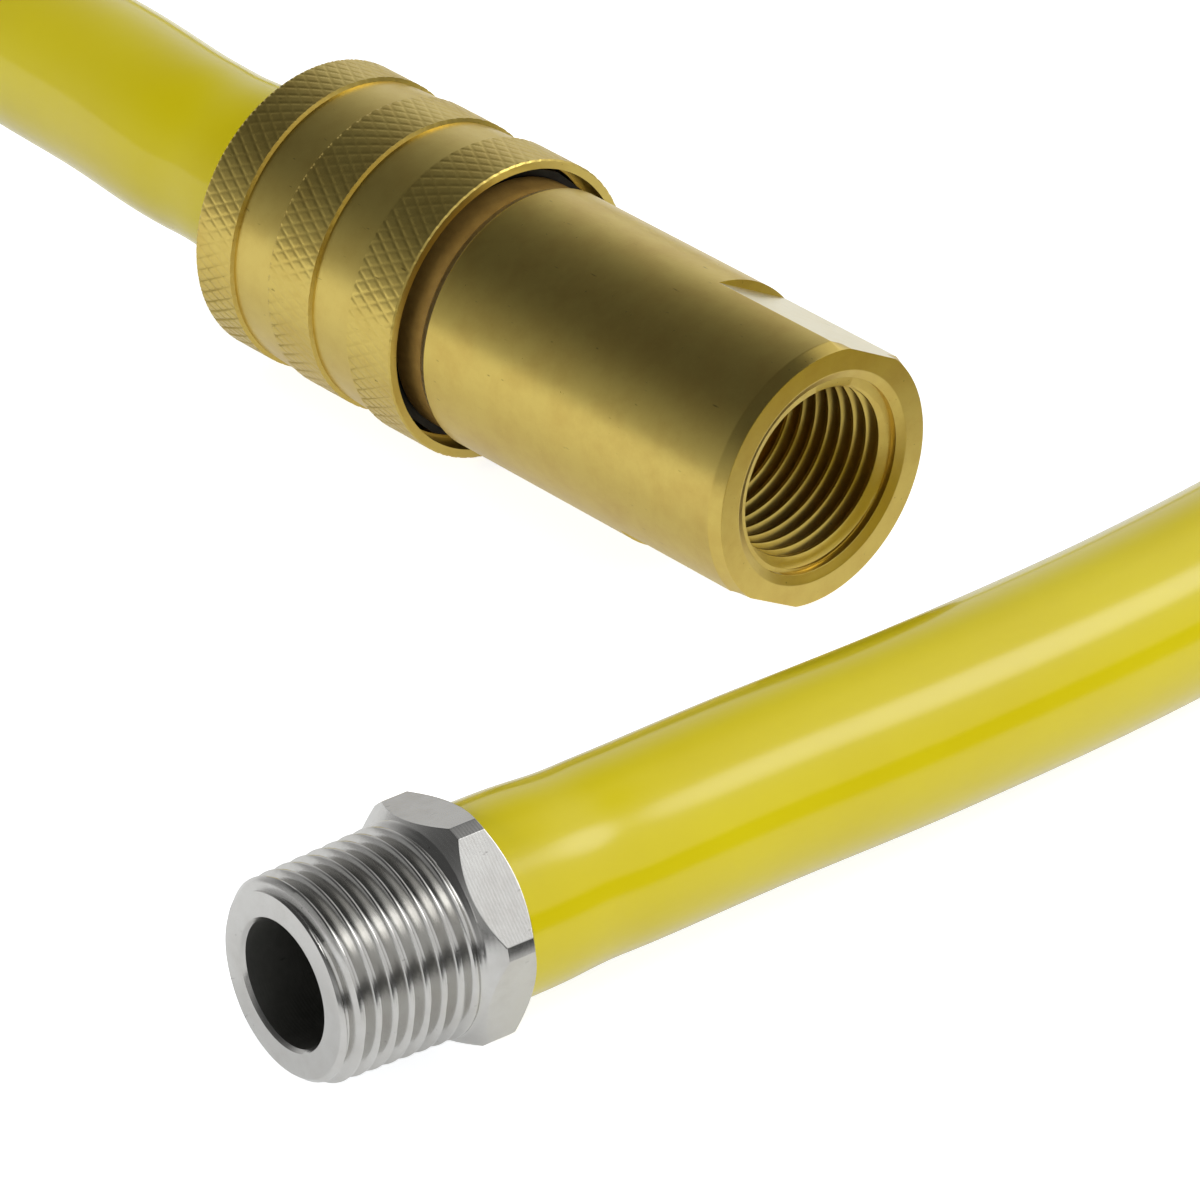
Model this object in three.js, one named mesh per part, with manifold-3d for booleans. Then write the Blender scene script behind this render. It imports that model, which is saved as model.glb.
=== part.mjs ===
// Flexible gas hose for catering appliances, millimetres, +Z up.
// A yellow covered hose lies in one loose loop on the floor.  One end is a stainless steel
// nipple with an outside pipe thread and a hexagon.  The other end is a brass quick release
// coupling: a plug on the hose, and a socket with an inside pipe thread, a shut-off valve and
// a knurled sleeve that frees the locking balls when it is pulled toward the thread.
// The origin is on the floor, under the middle of the box around the end fittings.
import * as THREE from 'three';
import { mergeVertices } from 'three/addons/utils/BufferGeometryUtils.js';
import Module from 'manifold-3d';

const wasm = await Module();
wasm.setup();

// Half-inch pipe thread, the same on both ends, 14 turns to the inch
const THREAD_MAJOR_D = 20.955;
const THREAD_MINOR_D = 18.631;
const THREAD_PITCH = 1.814;
const THREAD_TAPER = 1 / 32;
const THREAD_GAUGE = 8.2;
const THREAD_CREST = 0.17;

// Running and assembly clearance between neighbouring pieces
const CLEARANCE = 0.3;

// How far a cutting or joining solid runs past the face it meets
const OVERLAP = 0.01;
const OVERRUN = 1;

// Hose
const HOSE_D = 19.0;
const HOSE_WALL = 3.15;
const HOSE_SWELL = 0.35;
const HOSE_END_LENGTH = 8.0;
const HOSE_STRAIGHT = 18.0;
const HOSE_STEPS = 44;
const HOSE_SIDES = 12;
const HOSE_CURVE_PARTS = 880;
const TAIL_LENGTH = 13.0;
const TAIL_WALL = 1.25;
const BARB_DEPTH = 0.5;
const BARB_COUNT = 3;
const BARB_RISE_SHARE = 0.3;
const FERRULE_WALL = 0.8;
const FERRULE_LENGTH = 9.0;
const FERRULE_COVER = 0.9;

// Steel nipple, measured from its open face
const NIPPLE_THREAD_LENGTH = 15.5;
const NIPPLE_LEAD_DEPTH = 1.2775;
const NIPPLE_LEAD_LENGTH = 1.3;
const NIPPLE_BORE_D = 12.8;
const NIPPLE_BORE_CHAMFER = 0.3;
const HEX_SIDES = 6;
const HEX_OVER_THREAD = 1.045;
const HEX_CORNER_HEIGHT = 1.3;
const HEX_END = 21.0;
const HEX_BACK_CHAMFER = 0.95;
const HEX_TURN_DEG = 16.9;

// Socket of the coupling, measured from its threaded mouth
const BODY_STEP = 2.0;
const BODY_CHAMFER_DEPTH = 0.5;
const BODY_CHAMFER_LENGTH = 1.4;
const BODY_LENGTH = 43.5;
const NECK_STEP = 0.5;
const NECK_GAP = 2.0;
const NECK_CHAMFER_LENGTH = 1.0;
const MOUTH_BORE_GAP = 0.1725;
const MOUTH_RELIEF_WIDTH = 0.95;
const MOUTH_RELIEF_DEPTH = 0.5;
const MOUTH_BORE_DEPTH = 1.2;
const FEMALE_THREAD_END = 16.0;
const FLATS_CUT = 1.0;
const FLATS_LENGTH = 17.5;
const FLATS_TURN_DEG = 120.0;
const BARREL_WALL = 2.7;
const BARREL_CHAMFER = 0.5;

// Shut-off valve in the socket
const SNAP_RING_SECTION = 1.4;
const SNAP_RING_THICKNESS = 0.6;
const SNAP_RING_OPEN_DEG = 50;
const SNAP_GROOVE_DEPTH = 0.9;
const SNAP_GROOVE_INSET = 1.6;
const RETAINER_THICKNESS = 1.8;
const RETAINER_PORT_D = 3.2;
const RETAINER_PORT_COUNT = 6;
const RETAINER_PORT_INSET = 2.5;
const VALVE_SPRING_LENGTH = 10.5;
const VALVE_SPRING_GAP = 1.1;
const VALVE_SPRING_WIRE = 1.0;
const VALVE_SPRING_TURNS = 5.5;
const POPPET_HEAD_D = 16.0;
const POPPET_HEAD_THICKNESS = 3.0;
const POPPET_RIM = 2.2;
const POPPET_STEM_WALL = 1.6;
const GAS_GAP = 0.8;
const POPPET_PIN_D = 4.4;
const POPPET_PORT_D = 2.8;
const POPPET_PORT_COUNT = 6;
const POPPET_SEAL_THICKNESS = 1.2;
const VALVE_LIFT = 4.0;
const SEAT_LENGTH = 6.4;

// Release sleeve, its spring and its stop ring
const SLEEVE_LENGTH = 30.5;
const SLEEVE_TRAVEL = 5.0;
const SLEEVE_WALL = 1.3;
const SLEEVE_BAND_STEP = 0.2;
const SLEEVE_GROOVE_DEPTH = 0.45;
const SLEEVE_EDGE = 0.25;
const SLEEVE_LIP_GAP = 1.0;
const SLEEVE_LIP_LENGTH = 3.4;
const SLEEVE_POCKET_STEP = 0.1;
const SLEEVE_LAND_LENGTH = 5.0;
const FRONT_BAND = 6.5;
const FRONT_RAMP = 6.25;
const MIDDLE_BAND = 6.25;
const MIDDLE_RAMP = 6.0;
const NECK_OVERLAP = 1.7;
const WASHER_THICKNESS = 0.8;
const SLEEVE_SPRING_LENGTH = 12.1;
const SLEEVE_SPRING_INNER_GAP = 0.8;
const SLEEVE_SPRING_OUTER_GAP = 0.7;
const SLEEVE_SPRING_WIRE = 1.2;
const SLEEVE_SPRING_TURNS = 4.5;
const STOP_RING_THICKNESS = 1.0;
const STOP_RING_GRIP = 0.3;
const BARREL_END_LAND = 1.7;

// Locking balls
const BALL_D = 4.0;
const BALL_COUNT = 6;
const BALL_LIFT = 1.0;
const BALL_SEAT_LIP = 0.7;
const BALL_SEAT_DEPTH = 0.45;

// Plug on the hose
const PLUG_D = 19.0;
const PLUG_NOSE_CHAMFER = 1.0;
const PLUG_COLLAR_STEP = 0.5;
const PLUG_COLLAR_THICKNESS = 3.3;
const BALL_GROOVE_DEPTH = 0.8;
const PLUG_SEAL_SECTION = 1.4;
const PLUG_SEAL_INSET = 10.0;

// Where the two ends lie.  A heading points from an end's open face toward the hose.
const NIPPLE_X = -23.43;
const NIPPLE_Y = -73.76;
const NIPPLE_HEADING_DEG = 37.1;
const COUPLING_X = 28.03;
const COUPLING_Y = 10.16;
const COUPLING_HEADING_DEG = 132.82;

// Route of the hose between its ends, chosen by hand: one loose loop on the floor
const HOSE_ROUTE = [
  [19.6, -40.5, 11.75],
  [36.7, -26.5, 11],
  [58.8, -6.3, 9.9],
  [79.8, 15.1, 9.55],
  [99.1, 38.1, 9.55],
  [116.3, 62.7, 9.55],
  [130.6, 89, 9.55],
  [141.3, 117, 9.55],
  [147.2, 146.4, 9.55],
  [147.6, 176.3, 9.55],
  [141.7, 205.7, 9.55],
  [131.6, 224.8, 9.55],
  [116.2, 239.9, 9.55],
  [96.9, 249.6, 9.55],
  [75.5, 252.9, 9.55],
  [43.9, 252.7, 9.55],
  [12.4, 252.5, 9.55],
  [-19.2, 252.3, 9.55],
  [-42.6, 248.3, 9.55],
  [-63.3, 236.7, 9.55],
  [-78.9, 218.9, 9.55],
  [-87.7, 196.8, 9.56],
  [-88.6, 173.1, 9.65],
  [-81.6, 150.5, 10.3],
  [-72, 131.8, 12.2],
  [-63, 116.6, 13.9],
  [-54.3, 103.8, 15.2],
  [-45.9, 92.4, 16.1],
];

// Fineness of the round pieces and springs, and the rise of a closed coil in wire widths
const ROUND = 32;
const SMALL_ROUND = 20;
const THREAD_ROUND = 22;
const DISC_ROUND = 12;
const SEAL_SECTION_ROUND = 8;
const BALL_ROUND = 12;
const WIRE_SIDES = 6;
const CLOSED_TURN_RISE = 1.15;
const SLEEVE_SPRING_STEPS = 16;
const VALVE_SPRING_STEPS = 12;

// Materials
const stainless = new THREE.MeshStandardMaterial({ color: 0xc9cac6, roughness: 0.22, metalness: 1 });
const brass = new THREE.MeshStandardMaterial({ color: 0xc2a85a, roughness: 0.34, metalness: 1 });
const yellowCover = new THREE.MeshStandardMaterial({ color: 0xdccb1c, roughness: 0.28, metalness: 0 });
const springSteel = new THREE.MeshStandardMaterial({ color: 0xa8a9aa, roughness: 0.35, metalness: 1 });
const blackRubber = new THREE.MeshStandardMaterial({ color: 0x161616, roughness: 0.7, metalness: 0 });
const crimpSteel = new THREE.MeshStandardMaterial({ color: 0xb4b5b2, roughness: 0.4, metalness: 1 });

// Turns a three.js geometry into a solid for joining and cutting.
function toSolid(source) {
  const bare = source.index ? source.toNonIndexed() : source.clone();
  bare.deleteAttribute('normal');
  bare.deleteAttribute('uv');
  const merged = mergeVertices(bare, 1e-4);
  const position = merged.attributes.position;
  const index = merged.index.array;
  const corners = [];
  let volume = 0;
  const a = new THREE.Vector3();
  const b = new THREE.Vector3();
  const c = new THREE.Vector3();
  for (let i = 0; i < index.length; i += 3) {
    const [p, q, r] = [index[i], index[i + 1], index[i + 2]];
    if (p === q || q === r || r === p) continue;
    corners.push(p, q, r);
    a.fromBufferAttribute(position, p);
    b.fromBufferAttribute(position, q);
    c.fromBufferAttribute(position, r);
    volume += a.dot(b.cross(c));
  }
  if (volume < 0) {
    for (let i = 0; i < corners.length; i += 3) {
      [corners[i + 1], corners[i + 2]] = [corners[i + 2], corners[i + 1]];
    }
  }
  return new wasm.Manifold(new wasm.Mesh({
    numProp: 3,
    vertProperties: new Float32Array(position.array),
    triVerts: new Uint32Array(corners),
  }));
}

// Turns a finished solid back into a three.js geometry.
function toGeometry(solid) {
  const mesh = solid.getMesh();
  const geometry = new THREE.BufferGeometry();
  geometry.setAttribute('position', new THREE.BufferAttribute(mesh.vertProperties, 3));
  geometry.setIndex(new THREE.BufferAttribute(mesh.triVerts, 1));
  geometry.computeVertexNormals();
  return geometry;
}

// A turned piece around Z.  The profile is [radius, height] pairs and closes on itself.
function turned(profile, segments = ROUND) {
  const points = profile.map(([radius, height]) => new THREE.Vector2(radius, height));
  const first = profile[0];
  const last = profile[profile.length - 1];
  const onAxis = first[0] === 0 && last[0] === 0;
  if (!onAxis) points.push(points[0].clone());
  return toSolid(new THREE.LatheGeometry(points, segments).rotateX(Math.PI / 2));
}

// A plain ring with a rectangular section.
function ring(innerD, outerD, start, end, segments = SMALL_ROUND) {
  return turned([[innerD / 2, start], [outerD / 2, start], [outerD / 2, end], [innerD / 2, end]], segments);
}

// A solid cylinder around Z.
function rod(diameter, start, end, segments = SMALL_ROUND) {
  return turned([[0, start], [diameter / 2, start], [diameter / 2, end], [0, end]], segments);
}

// A cylinder that stands out from the Z axis at an angle, from one radius to another.
function radialRod(diameter, innerR, outerR, height, angle, innerD = diameter) {
  const length = outerR - innerR;
  const shape = new THREE.CylinderGeometry(diameter / 2, innerD / 2, length, SMALL_ROUND / 2);
  shape.rotateZ(-Math.PI / 2);
  shape.translate((innerR + outerR) / 2, 0, 0);
  shape.rotateZ(angle);
  shape.translate(0, 0, height);
  return toSolid(shape);
}

// A screw: a rod whose surface follows the helix of a pipe thread.  Four rows of corners
// make one turn: the crest's two edges and the root's two edges.
function screw(crestAt, depth, start, end, segments = THREAD_ROUND) {
  const crestShare = THREAD_CREST;
  const rowPhase = [0, crestShare, 0.5, 0.5 + crestShare];
  const rowIsCrest = [true, true, false, false];
  const rows = rowPhase.length;
  const turns = Math.ceil((end - start) / THREAD_PITCH) + 2;
  const rowCount = turns * rows + 1;
  const base = start - THREAD_PITCH * 1.5;
  const positions = [];
  const corner = (i, j) => (i === segments ? corner(0, j + rows) : j * segments + i);
  for (let j = 0; j < rowCount + rows; j += 1) {
    for (let i = 0; i < segments; i += 1) {
      const angle = (2 * Math.PI * i) / segments;
      const turn = Math.floor(j / rows) + rowPhase[j % rows] + i / segments;
      const height = base + turn * THREAD_PITCH;
      const radius = crestAt(height) - (rowIsCrest[j % rows] ? 0 : depth);
      positions.push(radius * Math.cos(angle), radius * Math.sin(angle), height);
    }
  }
  const lowCentre = positions.length / 3;
  positions.push(0, 0, base - THREAD_PITCH);
  const highCentre = lowCentre + 1;
  positions.push(0, 0, base + (turns + 2) * THREAD_PITCH);
  const index = [];
  for (let j = 0; j < rowCount - 1; j += 1) {
    for (let i = 0; i < segments; i += 1) {
      const low = corner(i, j);
      const lowNext = corner(i + 1, j);
      const high = corner(i, j + 1);
      const highNext = corner(i + 1, j + 1);
      index.push(low, lowNext, highNext, low, highNext, high);
    }
  }
  const top = rowCount - 1;
  for (let i = 0; i < segments; i += 1) {
    index.push(lowCentre, corner(i + 1, 0), corner(i, 0));
    index.push(highCentre, corner(i, top), corner(i + 1, top));
  }
  for (let j = 0; j < rows; j += 1) {
    index.push(lowCentre, corner(0, j), corner(0, j + 1));
    index.push(highCentre, corner(0, top + j + 1), corner(0, top + j));
  }
  const geometry = new THREE.BufferGeometry();
  geometry.setAttribute('position', new THREE.BufferAttribute(new Float32Array(positions), 3));
  geometry.setIndex(index);
  return toSolid(geometry);
}

// A coil spring's centre line around Z, with a closed turn at each end.
class CoilCurve extends THREE.Curve {
  constructor(meanR, wire, start, end, turns) {
    super();
    Object.assign(this, { meanR, wire, start, end, turns });
  }

  getPoint(share, target = new THREE.Vector3()) {
    const closedRise = this.wire * CLOSED_TURN_RISE;
    const rise = this.end - this.start - this.wire;
    const openTurns = this.turns - 2;
    const openRise = (rise - 2 * closedRise) / openTurns;
    const turn = share * this.turns;
    const lowTurn = Math.min(turn, 1);
    const midTurn = Math.min(Math.max(turn - 1, 0), openTurns);
    const highTurn = Math.max(turn - 1 - openTurns, 0);
    const climb = (lowTurn + highTurn) * closedRise + midTurn * openRise;
    const angle = 2 * Math.PI * turn;
    return target.set(
      this.meanR * Math.cos(angle),
      this.meanR * Math.sin(angle),
      this.start + this.wire / 2 + climb,
    );
  }
}

// A regular section for bars and tubes that follow a curve.
function roundSection(diameter, sides, boreD = 0) {
  const circle = (d) => Array.from({ length: sides }, (_, i) => {
    const angle = (2 * Math.PI * i) / sides;
    return new THREE.Vector2((d / 2) * Math.cos(angle), (d / 2) * Math.sin(angle));
  });
  const shape = new THREE.Shape(circle(diameter));
  if (boreD > 0) shape.holes.push(new THREE.Path(circle(boreD).reverse()));
  return shape;
}

// A bar or tube whose section follows a curve.
function alongCurve(section, curve, steps) {
  return toSolid(new THREE.ExtrudeGeometry(section, { steps, extrudePath: curve, bevelEnabled: false }));
}

// A coil spring around Z with closed ends.
function coilSpring(meanD, wire, start, end, turns, stepsPerTurn) {
  const curve = new CoilCurve(meanD / 2, wire, start, end, turns);
  return alongCurve(roundSection(wire, WIRE_SIDES), curve, Math.round(turns * stepsPerTurn));
}

// The barbed tail of a fitting, which the hose is pushed over: [radius, height] pairs.
function barbedTail(start, tailR) {
  const barb = TAIL_LENGTH / BARB_COUNT;
  const profile = [];
  for (let i = 0; i < BARB_COUNT; i += 1) {
    profile.push([tailR - BARB_DEPTH, start + i * barb]);
    profile.push([tailR, start + (i + BARB_RISE_SHARE) * barb]);
  }
  profile.push([tailR - BARB_DEPTH, start + TAIL_LENGTH]);
  return profile;
}

// Radii that follow from what sits inside what
const threadMajorR = THREAD_MAJOR_D / 2;
const threadDepth = (THREAD_MAJOR_D - THREAD_MINOR_D) / 2;
const mouthBoreR = threadMajorR + MOUTH_BORE_GAP;
const hexFlatR = (THREAD_MAJOR_D + HEX_OVER_THREAD) / 2;
const hexCornerR = hexFlatR + HEX_CORNER_HEIGHT;
const hoseR = HOSE_D / 2;
const hoseBoreR = hoseR - HOSE_WALL;
const tailR = hoseBoreR - CLEARANCE;
const tailBoreR = tailR - TAIL_WALL;
const ferruleR = hoseR - FERRULE_COVER;
const ferruleInnerR = ferruleR - FERRULE_WALL;
const plugR = PLUG_D / 2;
const barrelBoreR = plugR + CLEARANCE;
const barrelR = barrelBoreR + BARREL_WALL;
const collarR = barrelR + PLUG_COLLAR_STEP;
const ballR = BALL_D / 2;
const ballHoleR = ballR + CLEARANCE;
const ballGrooveR = plugR - BALL_GROOVE_DEPTH;
const ballCentreR = ballGrooveR + CLEARANCE + ballR;
const landR = ballCentreR + ballR + CLEARANCE;
const releaseR = landR + BALL_LIFT;
const sleeveSpringR = barrelR + SLEEVE_SPRING_INNER_GAP + SLEEVE_SPRING_WIRE / 2;
const sleeveChamberR = sleeveSpringR + SLEEVE_SPRING_WIRE / 2 + SLEEVE_SPRING_OUTER_GAP;
const sleevePocketR = sleeveChamberR - SLEEVE_POCKET_STEP;
const sleeveR = sleeveChamberR + SLEEVE_WALL;
const bodyR = sleeveR - BODY_STEP;
const neckR = bodyR - NECK_STEP;
const stopGrooveR = barrelR - STOP_RING_GRIP - CLEARANCE;
const stopRingR = sleevePocketR - CLEARANCE;
const headR = POPPET_HEAD_D / 2;
const chamberR = headR + GAS_GAP;
const stemR = headR - POPPET_RIM;
const stemBoreR = stemR - POPPET_STEM_WALL;
const seatR = stemR + GAS_GAP;
const pinR = POPPET_PIN_D / 2;
const valveSpringR = pinR + VALVE_SPRING_GAP + VALVE_SPRING_WIRE / 2;

// Stations along the coupling's axis, counted from the threaded mouth
const sleeveStart = BODY_LENGTH + NECK_CHAMFER_LENGTH + NECK_GAP;
const snapStart = FEMALE_THREAD_END + SNAP_GROOVE_INSET;
const snapEnd = snapStart + SNAP_RING_THICKNESS;
const retainerStart = snapEnd + CLEARANCE;
const retainerEnd = retainerStart + RETAINER_THICKNESS;
const valveSpringStart = retainerEnd + CLEARANCE;
const valveSpringEnd = valveSpringStart + VALVE_SPRING_LENGTH;
const poppetStart = valveSpringEnd + CLEARANCE;
const poppetHeadEnd = poppetStart + POPPET_HEAD_THICKNESS;
const poppetSealStart = poppetHeadEnd + CLEARANCE;
const poppetSealEnd = poppetSealStart + POPPET_SEAL_THICKNESS;
const seatStart = poppetSealEnd + VALVE_LIFT;
const seatEnd = seatStart + SEAT_LENGTH;
const noseStart = seatEnd + CLEARANCE;
const shoulder = sleeveStart + NECK_OVERLAP;
const washerStart = shoulder + CLEARANCE;
const washerEnd = washerStart + WASHER_THICKNESS;
const sleeveSpringStart = washerEnd + CLEARANCE;
const sleeveSpringEnd = sleeveSpringStart + SLEEVE_SPRING_LENGTH;
const sleeveFlange = sleeveSpringEnd + CLEARANCE;
const ballStation = sleeveFlange + SLEEVE_LAND_LENGTH;
const sleeveStep = ballStation + SLEEVE_TRAVEL;
const stopRingStart = sleeveStep + CLEARANCE;
const stopRingEnd = stopRingStart + STOP_RING_THICKNESS;
const barrelEnd = stopRingEnd + BARREL_END_LAND;
const collarStart = barrelEnd + CLEARANCE;
const collarEnd = collarStart + PLUG_COLLAR_THICKNESS;
const sleeveEnd = sleeveStart + SLEEVE_LENGTH;
const plugSealStation = noseStart + PLUG_SEAL_INSET;

// Nipple: turned taper thread, hexagon and barbed tail in one piece, bored through
function buildNipple() {
  const faceR = threadMajorR - NIPPLE_LEAD_DEPTH;
  const crestAt = (height) => threadMajorR + (height - THREAD_GAUGE) * THREAD_TAPER;
  const threadEndR = crestAt(NIPPLE_THREAD_LENGTH);
  const hexStart = NIPPLE_THREAD_LENGTH;
  const thread = screw(crestAt, threadDepth, 0, NIPPLE_THREAD_LENGTH);
  const threadLimit = turned([
    [0, 0],
    [faceR, 0],
    [crestAt(NIPPLE_LEAD_LENGTH), NIPPLE_LEAD_LENGTH],
    [threadEndR + CLEARANCE, hexStart + CLEARANCE],
    [0, hexStart + CLEARANCE],
  ]);
  const hexLimit = turned([
    [0, hexStart],
    [threadEndR, hexStart],
    [hexCornerR, hexStart + hexCornerR - threadEndR],
    [hexCornerR, HEX_END - HEX_BACK_CHAMFER],
    [hexFlatR, HEX_END],
    [0, HEX_END],
  ]);
  const hexBarR = hexFlatR / Math.cos(Math.PI / HEX_SIDES);
  const hexBar = new THREE.CylinderGeometry(hexBarR, hexBarR, HEX_END, HEX_SIDES);
  hexBar.rotateX(Math.PI / 2);
  hexBar.translate(0, 0, HEX_END / 2 + hexStart / 2);
  hexBar.rotateZ(THREE.MathUtils.degToRad(HEX_TURN_DEG));
  const tail = turned([
    [0, HEX_END - HEX_BACK_CHAMFER],
    [tailR - BARB_DEPTH, HEX_END - HEX_BACK_CHAMFER],
    ...barbedTail(HEX_END, tailR).slice(1),
    [0, HEX_END + TAIL_LENGTH],
  ], SMALL_ROUND);
  const boreR = NIPPLE_BORE_D / 2;
  const bore = turned([
    [0, -OVERRUN],
    [boreR + NIPPLE_BORE_CHAMFER + OVERRUN, -OVERRUN],
    [boreR, NIPPLE_BORE_CHAMFER],
    [boreR, NIPPLE_THREAD_LENGTH],
    [tailBoreR, NIPPLE_THREAD_LENGTH + boreR - tailBoreR],
    [tailBoreR, HEX_END + TAIL_LENGTH + OVERRUN],
    [0, HEX_END + TAIL_LENGTH + OVERRUN],
  ], SMALL_ROUND);
  return thread.intersect(threadLimit).add(hexLimit.intersect(toSolid(hexBar))).add(tail).subtract(bore);
}

// Socket: one brass piece with the inside thread, wrench flats, valve chamber and ball barrel
function buildSocketBody() {
  const snapRootR = chamberR + SNAP_GROOVE_DEPTH;
  const sealRootR = plugR + 2 * CLEARANCE + PLUG_SEAL_SECTION;
  const sealHalf = PLUG_SEAL_SECTION / 2 + CLEARANCE;
  let body = turned([
    [bodyR - BODY_CHAMFER_DEPTH, 0],
    [bodyR, BODY_CHAMFER_LENGTH],
    [bodyR, BODY_LENGTH],
    [neckR, BODY_LENGTH + NECK_CHAMFER_LENGTH],
    [neckR, shoulder],
    [barrelR, shoulder],
    [barrelR, stopRingStart - CLEARANCE],
    [stopGrooveR, stopRingStart - CLEARANCE],
    [stopGrooveR, stopRingEnd + CLEARANCE],
    [barrelR, stopRingEnd + CLEARANCE],
    [barrelR, barrelEnd - BARREL_CHAMFER],
    [barrelR - BARREL_CHAMFER, barrelEnd],
    [barrelBoreR + BARREL_CHAMFER, barrelEnd],
    [barrelBoreR, barrelEnd - BARREL_CHAMFER],
    [barrelBoreR, plugSealStation + sealHalf],
    [sealRootR, plugSealStation + sealHalf],
    [sealRootR, plugSealStation - sealHalf],
    [barrelBoreR, plugSealStation - sealHalf],
    [barrelBoreR, seatEnd],
    [seatR, seatEnd],
    [seatR, seatStart],
    [chamberR, seatStart],
    [chamberR, snapEnd + CLEARANCE],
    [snapRootR, snapEnd + CLEARANCE],
    [snapRootR, snapStart - CLEARANCE],
    [chamberR, snapStart - CLEARANCE],
    [chamberR, MOUTH_BORE_DEPTH],
    [mouthBoreR, MOUTH_BORE_DEPTH],
    [mouthBoreR, MOUTH_RELIEF_DEPTH],
    [mouthBoreR + MOUTH_RELIEF_WIDTH, 0],
  ]);
  const thread = screw(() => threadMajorR, threadDepth, 0, FEMALE_THREAD_END);
  const threadSpan = rod(2 * mouthBoreR, MOUTH_BORE_DEPTH / 2, FEMALE_THREAD_END);
  body = body.subtract(thread.intersect(threadSpan));
  for (const side of [1, -1]) {
    const flat = new THREE.BoxGeometry(2 * bodyR, 4 * bodyR, 2 * FLATS_LENGTH);
    flat.translate(side * (2 * bodyR - FLATS_CUT), 0, 0);
    flat.rotateZ(THREE.MathUtils.degToRad(FLATS_TURN_DEG));
    body = body.subtract(toSolid(flat));
  }
  const lipR = ballHoleR - BALL_SEAT_LIP;
  const lipTop = barrelBoreR + BALL_SEAT_DEPTH;
  for (let i = 0; i < BALL_COUNT; i += 1) {
    const angle = (2 * Math.PI * i) / BALL_COUNT;
    body = body.subtract(radialRod(2 * ballHoleR, lipTop, barrelR + OVERRUN, ballStation, angle));
    const seat = radialRod(2 * ballHoleR, plugR, lipTop + OVERLAP, ballStation, angle, 2 * lipR);
    body = body.subtract(seat);
  }
  return body;
}

// Release sleeve: three raised bands outside, spring chamber, ball land, cone and pocket inside
function buildSleeve() {
  const bandR = sleeveR - SLEEVE_BAND_STEP;
  const grooveR = bandR - SLEEVE_GROOVE_DEPTH;
  const lipR = bodyR + SLEEVE_LIP_GAP;
  const rampTopR = bandR - SLEEVE_EDGE;
  const frontBandEnd = sleeveStart + FRONT_BAND;
  const middleBandStart = frontBandEnd + FRONT_RAMP;
  const middleBandEnd = middleBandStart + MIDDLE_BAND;
  const backBandStart = middleBandEnd + MIDDLE_RAMP;
  return turned([
    [sleeveR - SLEEVE_EDGE, sleeveStart],
    [sleeveR, sleeveStart + SLEEVE_EDGE],
    [sleeveR, frontBandEnd],
    [rampTopR, frontBandEnd + SLEEVE_EDGE],
    [grooveR, middleBandStart - SLEEVE_EDGE],
    [bandR, middleBandStart],
    [bandR, middleBandEnd],
    [rampTopR, middleBandEnd + SLEEVE_EDGE],
    [grooveR, backBandStart - SLEEVE_EDGE],
    [bandR, backBandStart],
    [bandR, sleeveEnd - SLEEVE_EDGE],
    [bandR - SLEEVE_EDGE, sleeveEnd],
    [sleevePocketR, sleeveEnd],
    [sleevePocketR, sleeveStep],
    [releaseR, sleeveStep],
    [landR, ballStation],
    [landR, sleeveFlange],
    [sleeveChamberR, sleeveFlange],
    [sleeveChamberR, sleeveStart + SLEEVE_LIP_LENGTH],
    [lipR, sleeveStart + SLEEVE_LIP_LENGTH],
    [lipR, sleeveStart],
  ], ROUND);
}

// Plug: nose with the ball groove, collar and barbed tail in one piece, bored through
function buildPlug() {
  const grooveHalf = Math.sqrt(ballR ** 2 - (ballCentreR - plugR) ** 2) + CLEARANCE;
  const grooveFlat = grooveHalf - BALL_GROOVE_DEPTH;
  return turned([
    [plugR - PLUG_NOSE_CHAMFER, noseStart],
    [plugR, noseStart + PLUG_NOSE_CHAMFER],
    [plugR, ballStation - grooveHalf],
    [ballGrooveR, ballStation - grooveFlat],
    [ballGrooveR, ballStation + grooveFlat],
    [plugR, ballStation + grooveHalf],
    [plugR, collarStart],
    [collarR, collarStart],
    [collarR, collarEnd],
    ...barbedTail(collarEnd, tailR),
    [tailBoreR, collarEnd + TAIL_LENGTH],
    [tailBoreR, noseStart],
  ], SMALL_ROUND);
}

// Valve poppet: guide pin, sealing head and hollow ported stem that the plug's nose pushes
function buildPoppet() {
  const pinStart = retainerStart;
  const portStation = seatStart - VALVE_LIFT / 2;
  const boreStart = portStation - POPPET_PORT_D / 2;
  let poppet = turned([
    [0, pinStart],
    [pinR, pinStart],
    [pinR, poppetStart],
    [headR, poppetStart],
    [headR, poppetHeadEnd],
    [stemR, poppetHeadEnd],
    [stemR, seatEnd],
    [stemBoreR, seatEnd],
    [stemBoreR, boreStart],
    [0, boreStart],
  ], SMALL_ROUND);
  for (let i = 0; i < POPPET_PORT_COUNT / 2; i += 1) {
    const angle = (2 * Math.PI * i) / POPPET_PORT_COUNT;
    const port = radialRod(POPPET_PORT_D, -stemR - OVERRUN, stemR + OVERRUN, portStation, angle);
    poppet = poppet.subtract(port);
  }
  return poppet;
}

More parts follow.
